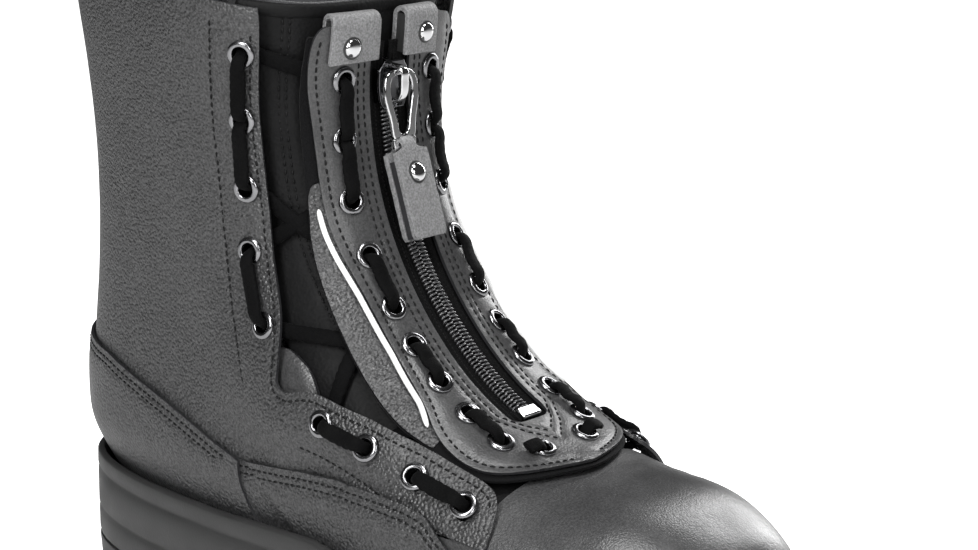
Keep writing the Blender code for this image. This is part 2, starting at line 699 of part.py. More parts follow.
def sole_solid(name, levels, colour):
    """Rings of the outline at rising levels: each is (height by y, inset)."""
    outer, inner = sole_outline()
    n = len(outer)
    ring = np.concatenate([outer, inner[::-1]])
    middle = np.array([ring[:, 0].mean(), 0])
    points = []
    for height, inset in levels:
        away = ring - np.stack([np.full(len(ring), middle[0]), np.clip(ring[:, 1], -95, 95)], -1)
        away /= np.linalg.norm(away, axis=1, keepdims=True)
        xy = ring - away * inset
        z = np.array([height(y) for y in ring[:, 1]])
        points.extend(np.column_stack([xy, z]))
    count = len(ring)
    faces = []
    for i in range(len(levels) - 1):
        for j in range(count):
            k = (j + 1) % count
            faces.append((i * count + j, i * count + k, (i + 1) * count + k, (i + 1) * count + j))
    for base in (0, (len(levels) - 1) * count):
        for j in range(n - 1):
            a, b = base + j, base + j + 1
            faces.append((a, b, base + count - 2 - j, base + count - 1 - j))
    thing = add_object(name, points, faces, colour)
    bm = bmesh.new()
    bm.from_mesh(thing.data)
    bmesh.ops.remove_doubles(bm, verts=bm.verts, dist=2e-5)
    bmesh.ops.recalc_face_normals(bm, faces=bm.faces)
    if bm.calc_volume(signed=True) < 0:
        bmesh.ops.reverse_faces(bm, faces=bm.faces)
    bm.to_mesh(thing.data)
    bm.free()
    return thing


def upper_envelope():
    """The space that the upper and the plates under the foot take up inside the sole."""
    heel_top, heel_end = float(FOOT.s_of_back_height(96)), float(FOOT.s_of_back(80))
    rows = np.concatenate([FOOT.between(heel_top, heel_end, 5)[:-1], FOOT.between(heel_end, 250, 13),
                           [260, 268, 275, FOOT.toe - 1]])
    half = np.array([0, 0.3, 0.46, 0.54, 0.6, 0.66, 0.72, 0.78, 0.84, 0.91, 1.0])
    around = 2 * len(half) - 2
    share = np.concatenate([half, -half[-2:0:-1]])
    points = []
    for s in rows:
        heel = float(FOOT.point(s, float(FOOT.full_girth(s)))[2])
        low = step(np.abs(share), 0.78, 0.9) * (1 - step(heel, 36, 44))
        g = share * float(FOOT.full_girth(s))
        y = FOOT.point(np.full(around, s), g)[:, 1]
        points.extend(FOOT.point(np.full(around, s), g, sole_lift(y) * (1 - low) + 3.9 * low))
    faces = []
    for i in range(len(rows) - 1):
        for j in range(around):
            k = (j + 1) % around
            faces.append((i * around + j, (i + 1) * around + j, (i + 1) * around + k, i * around + k))
    faces.append(tuple(range(around)))
    last = (len(rows) - 1) * around
    faces.append(tuple(range(last, last + around))[::-1])
    thing = add_object("upper_envelope", points, faces, None)
    outward(thing)
    return thing


def make_sole():
    sole_solid("outsole", [
        (lambda y: float(along(GROUND, y)), 2.6),
        (lambda y: float(along(GROUND, y)) + 2.0, 0.6),
        (lambda y: float(along(TREAD_TOP, y)) - 0.4, 0.0),
    ], RUBBER)
    midsole = sole_solid("midsole", [
        (lambda y: float(along(TREAD_TOP, y)), 0.8),
        (lambda y: float(along(TREAD_TOP, y)) + 2.5, 0.0),
        (lambda y: float(along(SOLE_TOP, y)) - 2.0, 0.2),
        (lambda y: float(along(SOLE_TOP, y)), 1.8),
    ], RUBBER)
    combine(midsole, upper_envelope(), "DIFFERENCE")


# ---------------------------------------------------------------- the zip insert

def insert_grid(name, rows, edge, inner, lifts, columns, close_from, colour):
    """Two legs and the web that joins them below close_from: a leg runs from inner to edge(s)."""
    points = []
    for s in rows:
        out = max(float(along(edge, s)), 0.5)
        near = min(inner, out * 0.5)
        leg = np.linspace(out, near, columns)
        g = np.concatenate([-leg, [0.0], leg[::-1]])
        points.extend(FOOT.point(np.full(len(g), s), g, lifts[0]))
    width = 2 * columns + 1

    def keep(i, j):
        return rows[i] >= close_from - 1e-6 or j < columns - 1 or j > columns

    return shell(name, points, grid(len(rows), width, keep), lifts[1] - lifts[0], colour)


def make_insert():
    rows = np.concatenate([[5, 8, 14], spread(24, 143, 12), [153, 163, ZIP_END, 174, 182, 189, 193, 195]])
    panel = insert_grid("zip_panel", rows, PANEL_EDGE, ZIP_GAP, PANEL, 3, ZIP_END, SMOOTH_LEATHER)
    holes = sided(PANEL_EYELETS + [END_EYELET], -1) + sided(PANEL_EYELETS + [END_EYELET], 1)
    combine(panel, drill("panel_holes", HOLE_R, holes), "DIFFERENCE")
    rows = np.concatenate([[10, 24], spread(42, 153, 12.3), [165, 175, 183, 190, 193, 196.5]])
    points = []
    for s in rows:
        out = float(along(BACKING_EDGE, s))
        near = min(24.9, out - 3.0)
        g = np.array([-out, -(out + near) / 2, -near, 0, near, (out + near) / 2, out])
        points.extend(FOOT.point(np.full(7, s), g, BACKING[0]))
    faces = grid(len(rows), 7, lambda i, j: rows[i] >= 190 or j not in (2, 3))
    shell("insert_backing", points, faces, BACKING[1] - BACKING[0], CLOTH)


def make_piping(name, side):
    rows = spread(66, 151, 8.5)

    def edges(s):
        inner = float(along(PANEL_EDGE, s)) + 0.5
        return (-inner - 2.0, -inner) if side < 0 else (inner, inner + 2.0)

    patch("reflective_piping_" + name, rows, edges, 2, (PANEL[0], 1.6), WHITE)


def make_zip(name, side):
    tape = (1.3, 11.8)
    patch("zip_tape_" + name, spread(ZIP_TOP, ZIP_END - 1, 11),
          lambda s: (-tape[1], -tape[0]) if side < 0 else tape, 3, (3.9, 0.6), CLOTH)
    coil = (0.15, 4.0)
    patch("zip_coil_" + name, spread(24, ZIP_END - 6, 8.6),
          lambda s: (-coil[1], -coil[0]) if side < 0 else coil, 3, (5.0, 2.2), COIL)


def make_bottom_stop():
    profile = [(162.6, 5.0), (162.6, 7.8), (167.3, 7.8), (167.3, 5.0)]
    swept("zip_bottom_stop", profile, (-4.6, 0, 4.6), CHROME)


def make_slider():
    """Two plates joined by a neck between the coils, and a crown over the upper plate."""
    top, end = SLIDER
    s = [top, (top + end) / 2, end]

    def plate(name, low, high, half, colour):
        profile = [(x, low) for x in s] + [(x, high) for x in s[::-1]]
        return swept(name, profile, (-half, 0, half), colour)

    body = plate("slider_body", 7.6, 8.8, 7.0, CHROME)
    neck = swept("slider_neck", [(top + 0.3, 2.8), (top + 0.3, 8.2), (top + 3.2, 8.2), (top + 3.2, 2.8)],
                 (-0.8, 0.8), None)
    combine(body, neck, "UNION")
    combine(body, plate("slider_lower_plate", 2.3, 3.4, 7.0, None), "UNION")
    for side in (-1, 1):
        rim = swept(f"slider_rim_{side + 2}", [(x, 5.1) for x in s] + [(x, 8.2) for x in s[::-1]],
                    (side * 5.9, side * 6.9), None)
        combine(body, rim, "UNION")
    low, high = CROWN
    arch = [(low, 8.4), (low, 12.8), (low + 1.6, 14.3), (high - 5, 14.3), (high, 11.0), (high, 8.4),
            (high - 1.8, 8.4), (high - 1.8, 10.2), (high - 5.6, 13.1), (low + 3.6, 13.2),
            (low + 0.8, 12.2), (low + 0.8, 8.4)]
    combine(body, swept("slider_crown", arch, (-1.7, 1.7), None), "UNION")


def frame_between(start, end):
    """Origin and directions (down, across, out), from one (s, lift) over the zip towards another, in mm."""
    origin, other = FOOT.point(start[0], 0.0, start[1]), FOOT.point(end[0], 0.0, end[1])
    across = np.array([1.0, 0.0, 0.0])
    down = (other - origin) / np.linalg.norm(other - origin)
    return origin, down, across, np.cross(down, across), float(np.linalg.norm(other - origin))


def flat_ring(name, outline, inner, thickness, frame, colour):
    """A flat closed loop between two outlines with the same number of points."""
    origin, down, across, out, _ = frame
    n = len(outline)
    points = []
    for level in (-thickness / 2, thickness / 2):
        for loop in (outline, inner):
            points.extend(origin + down * d + across * x + out * level for d, x in loop)
    faces = []
    for j in range(n):
        k = (j + 1) % n
        faces.append((j, k, n + k, n + j))
        faces.append((2 * n + j, 3 * n + j, 3 * n + k, 2 * n + k))
        faces.append((j, 2 * n + j, 2 * n + k, k))
        faces.append((n + j, n + k, 3 * n + k, 3 * n + j))
    thing = add_object(name, points, faces, colour)
    outward(thing)
    return thing


def make_link():
    """A long loop: wide round the crown, narrow where it carries the tab."""
    frame = frame_between(PIVOT, TAB_PIVOT)
    reach = frame[4]
    outline = [(-1.2, -5.5), (2.5, -8.2), (8, -8.4), (15, -6.4), (reach + 1.1, -5.2)]
    inner = [(0.6, -4.6), (3.4, -6.3), (8, -6.5), (14.6, -4.6), (reach - 0.9, -3.4)]
    outline = outline + [(d, -x) for d, x in outline[::-1]]
    inner = inner + [(d, -x) for d, x in inner[::-1]]
    flat_ring("pull_link", outline, inner, 1.6, frame, CHROME)


def prism(name, profile, half, frame, colour):
    """An outline of (down, out) in the frame, carried across from -half to half."""
    origin, down, across, out, _ = frame
    n = len(profile)
    points = [origin + down * d + out * h + across * x for x in (-half, half) for d, h in profile]
    faces = [tuple(range(n)), tuple(range(n, 2 * n))[::-1]]
    faces += [(j, (j + 1) % n, n + (j + 1) % n, n + j) for j in range(n)]
    thing = add_object(name, points, faces, colour, smooth=False)
    outward(thing)
    return thing


def make_tab():
    """A strap folded round the link's lower bar, its two leaves held by a rivet."""
    frame = frame_between(TAB_PIVOT, TAB_END)
    origin, down, _, out, length = frame
    fold = [(-4.2, 0), (-3.6, 2.2), (-1.8, 3.3), (7, 3.3), (7, 1.5), (-0.4, 1.5), (-1.6, 1.0),
            (-2.0, 0), (-1.6, -1.0), (-0.4, -1.5), (7, -1.5), (7, -3.3), (-1.8, -3.3), (-3.6, -2.2)]
    tab = prism("pull_tab", fold, FOLD_HALF, frame, CLOTH)
    for n, side in enumerate((-1, 1)):
        leaf = [(2.4, 1.3 * side), (length, 0.2 * side), (length, 3.4 * side), (2.4, 3.4 * side)]
        leaf[1] = (length, 1.3 * side)
        combine(tab, prism(f"tab_leaf_{n + 1}", leaf, TAB_HALF, frame, None), "UNION")
    centre = origin + down * 9.0
    combine(tab, knob("tab_hole", [(1.6, -5), (1.6, 6)], centre, out, None), "DIFFERENCE")
    knob("pull_tab_rivet", [(1.2, -3.8), (1.2, 3.8), (3.6, 3.8), (3.3, 4.6), (1.8, 5.2)], centre, out,
         CHROME)


def knob(name, profile, centre, axis, colour, segments=12):
    """A solid turned about an axis through centre, from its lowest to its highest (radius, height)."""
    across = np.array([1.0, 0.0, 0.0])
    across -= axis * (across @ axis)
    across /= np.linalg.norm(across)
    other = np.cross(axis, across)
    points = []
    for radius, height in profile:
        for k in range(segments):
            a = 2 * math.pi * k / segments
            points.append(centre + axis * height + (across * math.cos(a) + other * math.sin(a)) * radius)
    faces = [tuple(range(segments)), tuple(range(len(points) - segments, len(points)))]
    for i in range(len(profile) - 1):
        for k in range(segments):
            m = (k + 1) % segments
            faces.append((i * segments + k, i * segments + m, (i + 1) * segments + m,
                          (i + 1) * segments + k))
    thing = add_object(name, points, faces, colour)
    outward(thing)
    return thing


def make_end_cap(name, gs, rivet):
    """A leather clip folded over one half's upper end, with a rivet."""
    profile = [(2.4, 3.0), (3.6, 1.9), (18.8, 1.9), (18.8, 3.2), (4.2, 3.5), (4.2, 7.5), (18.8, 7.5),
               (18.8, 9.3), (4.0, 9.3), (2.4, 8.0)]
    cap = swept("end_cap_" + name, profile, np.linspace(*gs, 4), CLOTH)
    s, g = rivet
    base = FOOT.point(s, g, 0.0)
    axis = FOOT.normal(FOOT.row(s), np.asarray(float(g)))
    combine(cap, knob("cap_hole_" + name, [(1.5, 5.0), (1.5, 11.5)], base, axis, None), "DIFFERENCE")
    knob("end_cap_rivet_" + name, [(1.1, 7.4), (1.1, 9.7), (3.5, 9.7), (3.2, 10.5), (1.7, 11.1)], base, axis,
         CHROME)


# ---------------------------------------------------------------- eyelets and laces

RING = [(BORE_R, 3.7), (BARREL_R, 3.7), (BARREL_R, FLANGE[0]), (FLANGE_R, FLANGE[0]),
        (BORE_R, FLANGE[1])]


def make_eyelets(name, places, half):
    """A row of eyelets joined by the thin stay tape that they are set in."""
    line = sorted(places)
    s_line = [s for s, _ in line]
    g_line = [g for _, g in line]
    rows = np.union1d(spread(s_line[0] - 5.2, s_line[-1] + 4.6, 14), s_line[-2:])

    def edges(s):
        g = float(np.interp(s, s_line, g_line))
        return g - half, g + half

    stay = patch("eyelets_" + name, rows, edges, 2, (STAY[0], STAY[1] - STAY[0]), GUNMETAL)
    combine(stay, drill("bores_" + name, BORE_R + 0.22, places), "DIFFERENCE")
    rings = turned_group("rings_" + name, RING, 8, places, None)
    combine(stay, rings, "UNION")


def lace_route(side):
    """The eyelets in the order the lace takes them, as runs on top of the leather."""
    panel = sided(PANEL_EYELETS, side)
    facing = sided(FACING_EYELETS, side)
    return [
        [panel[8], panel[7]], [facing[6], facing[5]], [panel[4], panel[3]],
        [facing[2], facing[1], facing[0]], [panel[0], panel[1], panel[2]], [facing[3], facing[4]],
        [panel[5], panel[6]], [facing[7], facing[8]],
    ]


def lace_points(side):
    """The lace's centre line as (s, g, lift): straight through each eyelet, flat between them."""
    start = (END_EYELET[0], END_EYELET[1] * side)
    route = [(start[0] - 1.0, start[1] + 6.5 * side, TOP_LACE), (start[0] - 0.5, start[1] + 3.2 * side,
             TOP_LACE), (*start, 9.4), (*start, 2.8)]

    def leg(a, b, lift, inner):
        reach = math.dist(a, b)
        for t in (3.2 / reach, *inner, 1 - 3.2 / reach):
            route.append((a[0] + (b[0] - a[0]) * t, a[1] + (b[1] - a[1]) * t, lift))

    previous = start
    for run in lace_route(side):
        leg(previous, run[0], LACE_LIFT, (0.38, 0.62) if math.dist(previous, run[0]) > 20 else ())
        route.append((*run[0], 2.8))
        for a, b in zip(run, run[1:]):
            route.append((*a, 9.4))
            leg(a, b, TOP_LACE, ())
            route.append((*b, 9.4))
        route.append((*run[-1], 2.8))
        previous = run[-1]
    route.append((previous[0] - 3.2, previous[1] + 1.0 * side, LACE_LIFT))
    route.append((previous[0] - 9.0, previous[1] + 1.0 * side, LACE_LIFT))
    return route


def make_lace(name, side):
    s, g, lift = np.array(lace_points(side)).T
    points = to_world(FOOT.point(s, g, lift))
    curve = bpy.data.curves.new("lace_" + name, "CURVE")
    curve.dimensions = "3D"
    curve.bevel_depth = LACE_R * MM
    curve.bevel_resolution = 1
    curve.use_fill_caps = True
    line = curve.splines.new("POLY")
    line.points.add(len(points) - 1)
    for place, point in zip(line.points, points):
        place.co = (*point, 1)
    curve.materials.append(paint(CLOTH))
    PARTS.objects.link(bpy.data.objects.new("lace_" + name, curve))


def make_notch_pad(name, side):
    """The rounded pad that fills the notch between the shaft's facing and the instep flap."""
    width = [(94, 60), (98, 56), (104, 54.5), (110, 57)]

    def edges(s):
        inner = float(along(width, s))
        return (-70, -inner) if side < 0 else (inner, 70)

    patch("notch_pad_" + name, spread(94, 110, 5.3), edges, 4, (0.3, 3.0), LEATHER)


def main():
    make_sole()
    make_underfoot()
    make_toe_cap()
    make_lining()
    make_tongue()
    make_vamp()
    make_counter()
    make_back_pieces()
    make_insert()
    make_bottom_stop()
    make_slider()
    make_link()
    make_tab()
    make_end_cap("lateral", (-27, -8), (13.5, -20))
    make_end_cap("medial", (5, 20), (11.5, 14))
    for name, side in SIDES:
        make_quarter(name, side)
        make_wing(name, side)
        make_piping(name, side)
        make_zip(name, side)
        make_notch_pad(name, side)
        make_eyelets("facing_" + name, sided(FACING_EYELETS, side), 4.2)
        make_eyelets("insert_" + name, sided(PANEL_EYELETS + [END_EYELET], side), 3.7)
        make_lace(name, side)


main()
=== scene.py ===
"""The looks of the fire boots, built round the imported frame.

Places on the upper are in millimetres on the same foot shape as the part's own:
  s     how far down the front ridge from the top edge,
  g     how far round from the ridge, negative on the outer side,
  lift  how far out from the foot shape.
The leathers are cut in (t, g), where t is the distance down between rows at the row's middle.
"""

import math

import bmesh
import bpy
import numpy as np
from mathutils import Matrix, Vector
from mathutils.geometry import delaunay_2d_cdt
from mathutils.kdtree import KDTree
from mathutils.noise import noise as value_noise

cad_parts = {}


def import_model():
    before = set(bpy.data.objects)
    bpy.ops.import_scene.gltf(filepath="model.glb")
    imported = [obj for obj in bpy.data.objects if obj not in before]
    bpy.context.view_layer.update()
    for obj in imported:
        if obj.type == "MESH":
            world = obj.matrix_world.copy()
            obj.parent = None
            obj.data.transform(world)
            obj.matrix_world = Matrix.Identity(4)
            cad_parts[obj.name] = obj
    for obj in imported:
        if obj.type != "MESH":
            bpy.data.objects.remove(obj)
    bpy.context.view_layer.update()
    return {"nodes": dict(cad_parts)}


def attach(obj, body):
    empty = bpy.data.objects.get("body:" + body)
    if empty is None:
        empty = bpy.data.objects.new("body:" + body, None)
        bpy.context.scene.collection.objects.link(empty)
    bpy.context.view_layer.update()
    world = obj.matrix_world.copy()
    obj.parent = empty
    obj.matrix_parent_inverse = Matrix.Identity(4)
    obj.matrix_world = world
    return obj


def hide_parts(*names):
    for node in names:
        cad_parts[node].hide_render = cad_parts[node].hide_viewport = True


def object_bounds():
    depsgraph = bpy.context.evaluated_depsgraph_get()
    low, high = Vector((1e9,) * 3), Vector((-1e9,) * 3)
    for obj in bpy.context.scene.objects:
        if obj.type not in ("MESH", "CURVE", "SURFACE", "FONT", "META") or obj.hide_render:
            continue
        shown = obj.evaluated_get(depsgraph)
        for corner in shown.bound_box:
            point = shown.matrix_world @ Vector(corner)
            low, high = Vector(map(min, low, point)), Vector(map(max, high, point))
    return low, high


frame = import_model()

MM = 0.001
CENTRE = (1.767, -0.984)  # x, y in mm that become the world's origin

# ---- The zip's curve: an arc in the plane x = 0, whose centre lies in front of the shin
ARC_Y, ARC_Z, ARC_R = -108.5, 195.0, 125.0


def on_arc(degrees):
    """(y, z) of the ridge where the arc has turned this far below its centre's level."""
    a = math.radians(degrees)
    return ARC_Y + ARC_R * math.cos(a), ARC_Z - ARC_R * math.sin(a)


# ---- The foot shape's sections, from the toe to the collar: front point, back point, half width,
# where along it is widest, how square its front and its back are, and its centre's x
SECTIONS = [
    ((-148, 34), (-148, 26), 4, 0.60, 2.0, 2.6, 10),
    ((-144.5, 47), (-144.5, 25), 18, 0.60, 2.1, 3.0, 9.5),
    ((-137, 57), (-137, 24), 29, 0.62, 2.2, 3.4, 9),
    ((-125, 63.5), (-125, 23), 39, 0.64, 2.4, 3.6, 8),
    (on_arc(90), (-107, 22), 46, 0.68, 2.7, 3.8, 6.5),
    (on_arc(78.5), (-85, 21), 49.5, 0.72, 3.0, 3.8, 4),
    (on_arc(67), (-60, 21), 50, 0.74, 3.0, 3.8, 1.5),
    (on_arc(54.5), (-32, 23), 49.5, 0.74, 3.0, 3.8, 0),
    (on_arc(42.5), (0, 27), 48.5, 0.72, 3.0, 3.6, 0),
    (on_arc(32.5), (45, 31), 46.5, 0.64, 3.3, 3.4, 0),
    (on_arc(25), (100, 33), 43.5, 0.56, 3.4, 3.0, 0),
    (on_arc(19), (141, 48), 41, 0.50, 3.5, 2.5, 0),
    (on_arc(12.5), (144, 90), 41, 0.48, 3.6, 2.3, 0),
    (on_arc(4), (137, 135), 43, 0.48, 3.6, 2.3, 0),
    (on_arc(-3), (135, 180), 46, 0.49, 3.6, 2.3, 0),
    (on_arc(-9.5), (138, 220), 50, 0.50, 3.6, 2.3, 0),
    ((14, 226), (140, 250), 52, 0.50, 3.6, 2.3, 0),
]

# ---- Lifts of the layers (mm)
LINING = -6.3
TONGUE = (-2.2, -0.3)
VAMP = (0.1, 1.9)
LACE_LIFT, LACE_GAP = 2.0, 0.5
BACKING = (3.7, 4.5)
PANEL = (5.6, 7.0)

# ---- Eyelets and laces (mm)
PANEL_EYELETS = [(25, 20.5), (46.5, 20.5), (67.5, 20.5), (88, 20.5), (108, 20.5), (123.5, 20.5),
                 (140, 20.5), (156, 20.5), (172, 20.5)]
END_EYELET = (182, 11)
FACING_EYELETS = [(14, 51), (32, 50), (51, 51), (67.5, 54.5), (87, 59), (117.5, 58.5),
                  (136.5, 51), (158, 46.5), (179, 44.5)]
HOLE_R, HOLE_SIDES = 3.8, 28

# ---- Outlines, as (s, |g|)
PANEL_EDGE = [(5, 26), (8, 31), (14, 32.5), (24, 32), (40, 29.5), (60, 28.5), (98, 27), (122, 27),
              (143, 29), (153, 33), (163, 35), (174, 34.5), (182, 31), (189, 23), (193, 14), (195, 6)]
BACKING_EDGE = [(10, 33), (24, 33.5), (60, 32), (80, 35), (110, 39), (140, 40), (155, 37.5),
                (165, 36.5), (175, 36), (183, 32.5), (190, 24.5), (194, 15.5), (196.5, 6)]
FACING_EDGE = [(0, 47.5), (7, 46.5), (36, 44), (57, 44), (65, 45), (82, 48.5), (89, 51.5), (94, 56.5),
               (97.5, 62.5), (99.5, 66), (102.8, 64.5), (107.5, 57.3), (112.5, 53.3), (122, 49),
               (132.5, 44.5), (140, 42.5), (156, 38), (172, 36), (181.5, 35.5), (186.5, 37),
               (189.5, 40.5), (191, 46)]
ZIP_GAP = 9.5
ZIP_TOP, ZIP_END = 14.0, 168.0

# ---- Heights over the ground along the boot, as (y, z)
SOLE_TOP = [(-170, 38), (-125, 35), (-60, 33), (-34, 34), (-25, 40), (-18, 48), (-5, 50.5), (15, 50),
            (45, 48.5), (90, 48), (170, 49)]
COUNTER_TOP = [(3, 40), (8, 47), (12.5, 51.4), (17.4, 55.9), (22.9, 60.6), (27, 64.9), (33, 68.7),
               (43, 71.4), (70, 80), (110, 92), (170, 98)]
QUARTER_FOOT = [(-90, 53), (-75, 58), (-66, 61.8), (-50, 67), (-42, 69.3), (-29, 71.3), (-14, 73.2),
                (1, 73), (33, 70), (43, 72.3), (70, 81), (110, 93), (170, 99)]
WING_TOP = [(-74, 27), (-70, 40), (-66, 50), (-59.6, 58), (-50, 65.5), (-42, 68.2), (-29, 70.2),
            (-14, 72.1), (1, 71.9), (33, 69)]
FEATHER = [(-170, 32), (-125, 29), (-60, 27), (-34, 28), (-25, 34), (-18, 43), (-5, 45), (15, 43.5),
           (45, 41), (90, 40), (115, 41), (170, 43)]  # where the upper ends, inside the sole's rim
GROUND = [(-170, 13), (-150, 9), (-128, 3), (-108, 0), (-15, 0), (5, 5), (50, 8), (54, 0), (135, 0),
          (150, 3), (170, 5)]
TREAD_TOP = [(-170, 21), (-150, 17), (-120, 11), (-100, 9.3), (-15, 9.3), (10, 13), (60, 15), (170, 15)]
WALL, SOLE_GAP = 3.4, 3.0

# ---- Slider, pull and end caps (mm)
SLIDER = (20.0, 38.0)
CROWN = (21.5, 36.5)
PIVOT = (24.2, 11.3)  # s and lift of the link's upper bar, inside the crown
TAB_PIVOT = (53.0, 11.7)  # s and lift of the link's lower bar, inside the tab's fold
TAB_END = (88.0, 11.6)
TAB_HALF = 7.9
FOLD_HALF = 2.7  # the tab is cut narrow where it passes through the link


# ---------------------------------------------------------------- the foot shape

def along(points, value):
    """Straight-line lookup in an outline of (place, size) pairs."""
    xs, ys = zip(*points)
    return np.interp(value, xs, ys)


def step(value, low, high):
    """0 below low, 1 above high, smooth between."""
    t = np.clip((np.asarray(value, float) - low) / (high - low), 0, 1)
    return t * t * (3 - 2 * t)


def natural_spline(knots, rows, wanted):
    """Cubic spline through the rows at the knots, without curvature at its ends."""
    n = len(knots)
    gap = np.diff(knots)
    system = np.zeros((n, n))
    right = np.zeros((n,) + rows.shape[1:])
    system[0, 0] = system[-1, -1] = 1
    for i in range(1, n - 1):
        system[i, i - 1 : i + 2] = gap[i - 1], 2 * (gap[i - 1] + gap[i]), gap[i]
        right[i] = 3 * ((rows[i + 1] - rows[i]) / gap[i] - (rows[i] - rows[i - 1]) / gap[i - 1])
    bend = np.linalg.solve(system, right)
    i = np.clip(np.searchsorted(knots, wanted) - 1, 0, n - 2)
    t = (wanted - knots[i])[:, None]
    h = gap[i][:, None]
    slope = (rows[i + 1] - rows[i]) / h - h * (2 * bend[i] + bend[i + 1]) / 3
    return rows[i] + slope * t + bend[i] * t**2 + (bend[i + 1] - bend[i]) / (3 * h) * t**3


class FootShape:
    """The smooth surface through SECTIONS, read by (s, g)."""

    ROWS, ROUND = 160, 101

    def __init__(self):
        table = np.array([(*f, *b, w, m, nf, nb, x) for f, b, w, m, nf, nb, x in SECTIONS], float)
        front = np.linalg.norm(np.diff(table[:, 0:2], axis=0), axis=1)
        back = np.linalg.norm(np.diff(table[:, 2:4], axis=0), axis=1)
        knots = np.concatenate([[0], np.cumsum((front + back) / 2)])
        rows = natural_spline(knots, table, np.linspace(0, knots[-1], self.ROWS))
        turn = np.linspace(0, math.pi, 181)
        cosine, sine = np.abs(np.cos(turn)), np.abs(np.sin(turn))
        share = np.linspace(0, 1, self.ROUND)
        self.half = np.empty((self.ROWS, self.ROUND, 3))
        self.girth = np.empty(self.ROWS)
        for i, (fy, fz, by, bz, wide, widest, nf, nb, _) in enumerate(rows):
            ahead = turn <= math.pi / 2
            depth = np.where(ahead, widest * (1 - cosine ** (2 / nf)),
                             widest + (1 - widest) * cosine ** (2 / nb))
            x = wide * np.where(ahead, sine ** (2 / nf), sine ** (2 / nb))
            outline = np.stack([x, fy + (by - fy) * depth, fz + (bz - fz) * depth], -1)
            length = np.concatenate([[0], np.cumsum(np.linalg.norm(np.diff(outline, axis=0), axis=1))])
            self.girth[i] = length[-1]
            for axis in range(3):
                self.half[i, :, axis] = np.interp(share * length[-1], length, outline[:, axis])
        self.centre = rows[:, 8]
        self.front, self.back = rows[:, 0:2], rows[:, 2:4]
        down = np.concatenate([[0], np.cumsum(np.linalg.norm(np.diff(self.front, axis=0), axis=1))])
        self.s = down[-1] - down
        self.row_gap = knots[-1] / (self.ROWS - 1)
        self.toe = self.s[0]

    def row(self, s):
        return np.interp(-np.asarray(s, float), -self.s, np.arange(self.ROWS))

    def full_girth(self, s):
        return np.interp(self.row(s), np.arange(self.ROWS), self.girth)

    def s_of_back_height(self, z):
        """The s of the row whose back point is this high on the heel."""
        first = int(np.argmax(self.back[:, 0] > 110))
        return np.interp(z, self.back[first:, 1], self.s[first:])

    def on_row(self, row, g):
        row = np.clip(row, 0, self.ROWS - 1.001)
        i = np.floor(row).astype(int)
        f = row - i
        girth = self.girth[i] * (1 - f) + self.girth[i + 1] * f
        place = np.clip(np.abs(g) / girth, 0, 1) * (self.ROUND - 1)
        j = np.minimum(np.floor(place).astype(int), self.ROUND - 2)
        e = (place - j)[..., None]
        f = f[..., None]
        low = self.half[i, j] * (1 - e) + self.half[i, j + 1] * e
        high = self.half[i + 1, j] * (1 - e) + self.half[i + 1, j + 1] * e
        point = low * (1 - f) + high * f
        side = np.where(np.asarray(g) < 0, -1.0, 1.0)
        centre = self.centre[i] * (1 - f[..., 0]) + self.centre[i + 1] * f[..., 0]
        point[..., 0] = side * point[..., 0] + centre
        return point

    def point(self, s, g, lift=0.0):
        """Places in mm. s, g and lift may be arrays of one shape."""
        s, g, lift = np.broadcast_arrays(np.asarray(s, float), np.asarray(g, float), lift)
        row = self.row(s)
        return self.on_row(row, g) + self.normal(row, g) * lift[..., None]

    def normal(self, row, g):
        girth = np.interp(row, np.arange(self.ROWS), self.girth)
        inside = np.clip(g, 1.5 - girth, girth - 1.5)
        below = self.on_row(np.clip(row - 1.5, 0, None), inside)
        above = self.on_row(np.clip(row + 1.5, None, self.ROWS - 1), inside)
        around = self.on_row(row, inside + 1.4) - self.on_row(row, inside - 1.4)
        normal = np.cross(around, above - below)
        # at the ridge and the back line the two sides mirror each other
        flat = (np.abs(np.abs(g) - girth) < 1e-6) | (np.abs(g) < 1e-6)
        normal[..., 0] = np.where(flat, 0, normal[..., 0])
        return normal / (np.linalg.norm(normal, axis=-1, keepdims=True) + 1e-12)

    def g_where(self, s, heights):
        """How far round the row at s first comes down to heights(y), at most to its back point."""
        girth = float(self.full_girth(s))
        g = np.linspace(1.0, girth, 400)
        p = self.on_row(np.full(g.shape, float(self.row(s))), g)
        under = p[:, 2] < along(heights, p[:, 1])
        return float(g[np.argmax(under)]) if under.any() else girth


FOOT = FootShape()


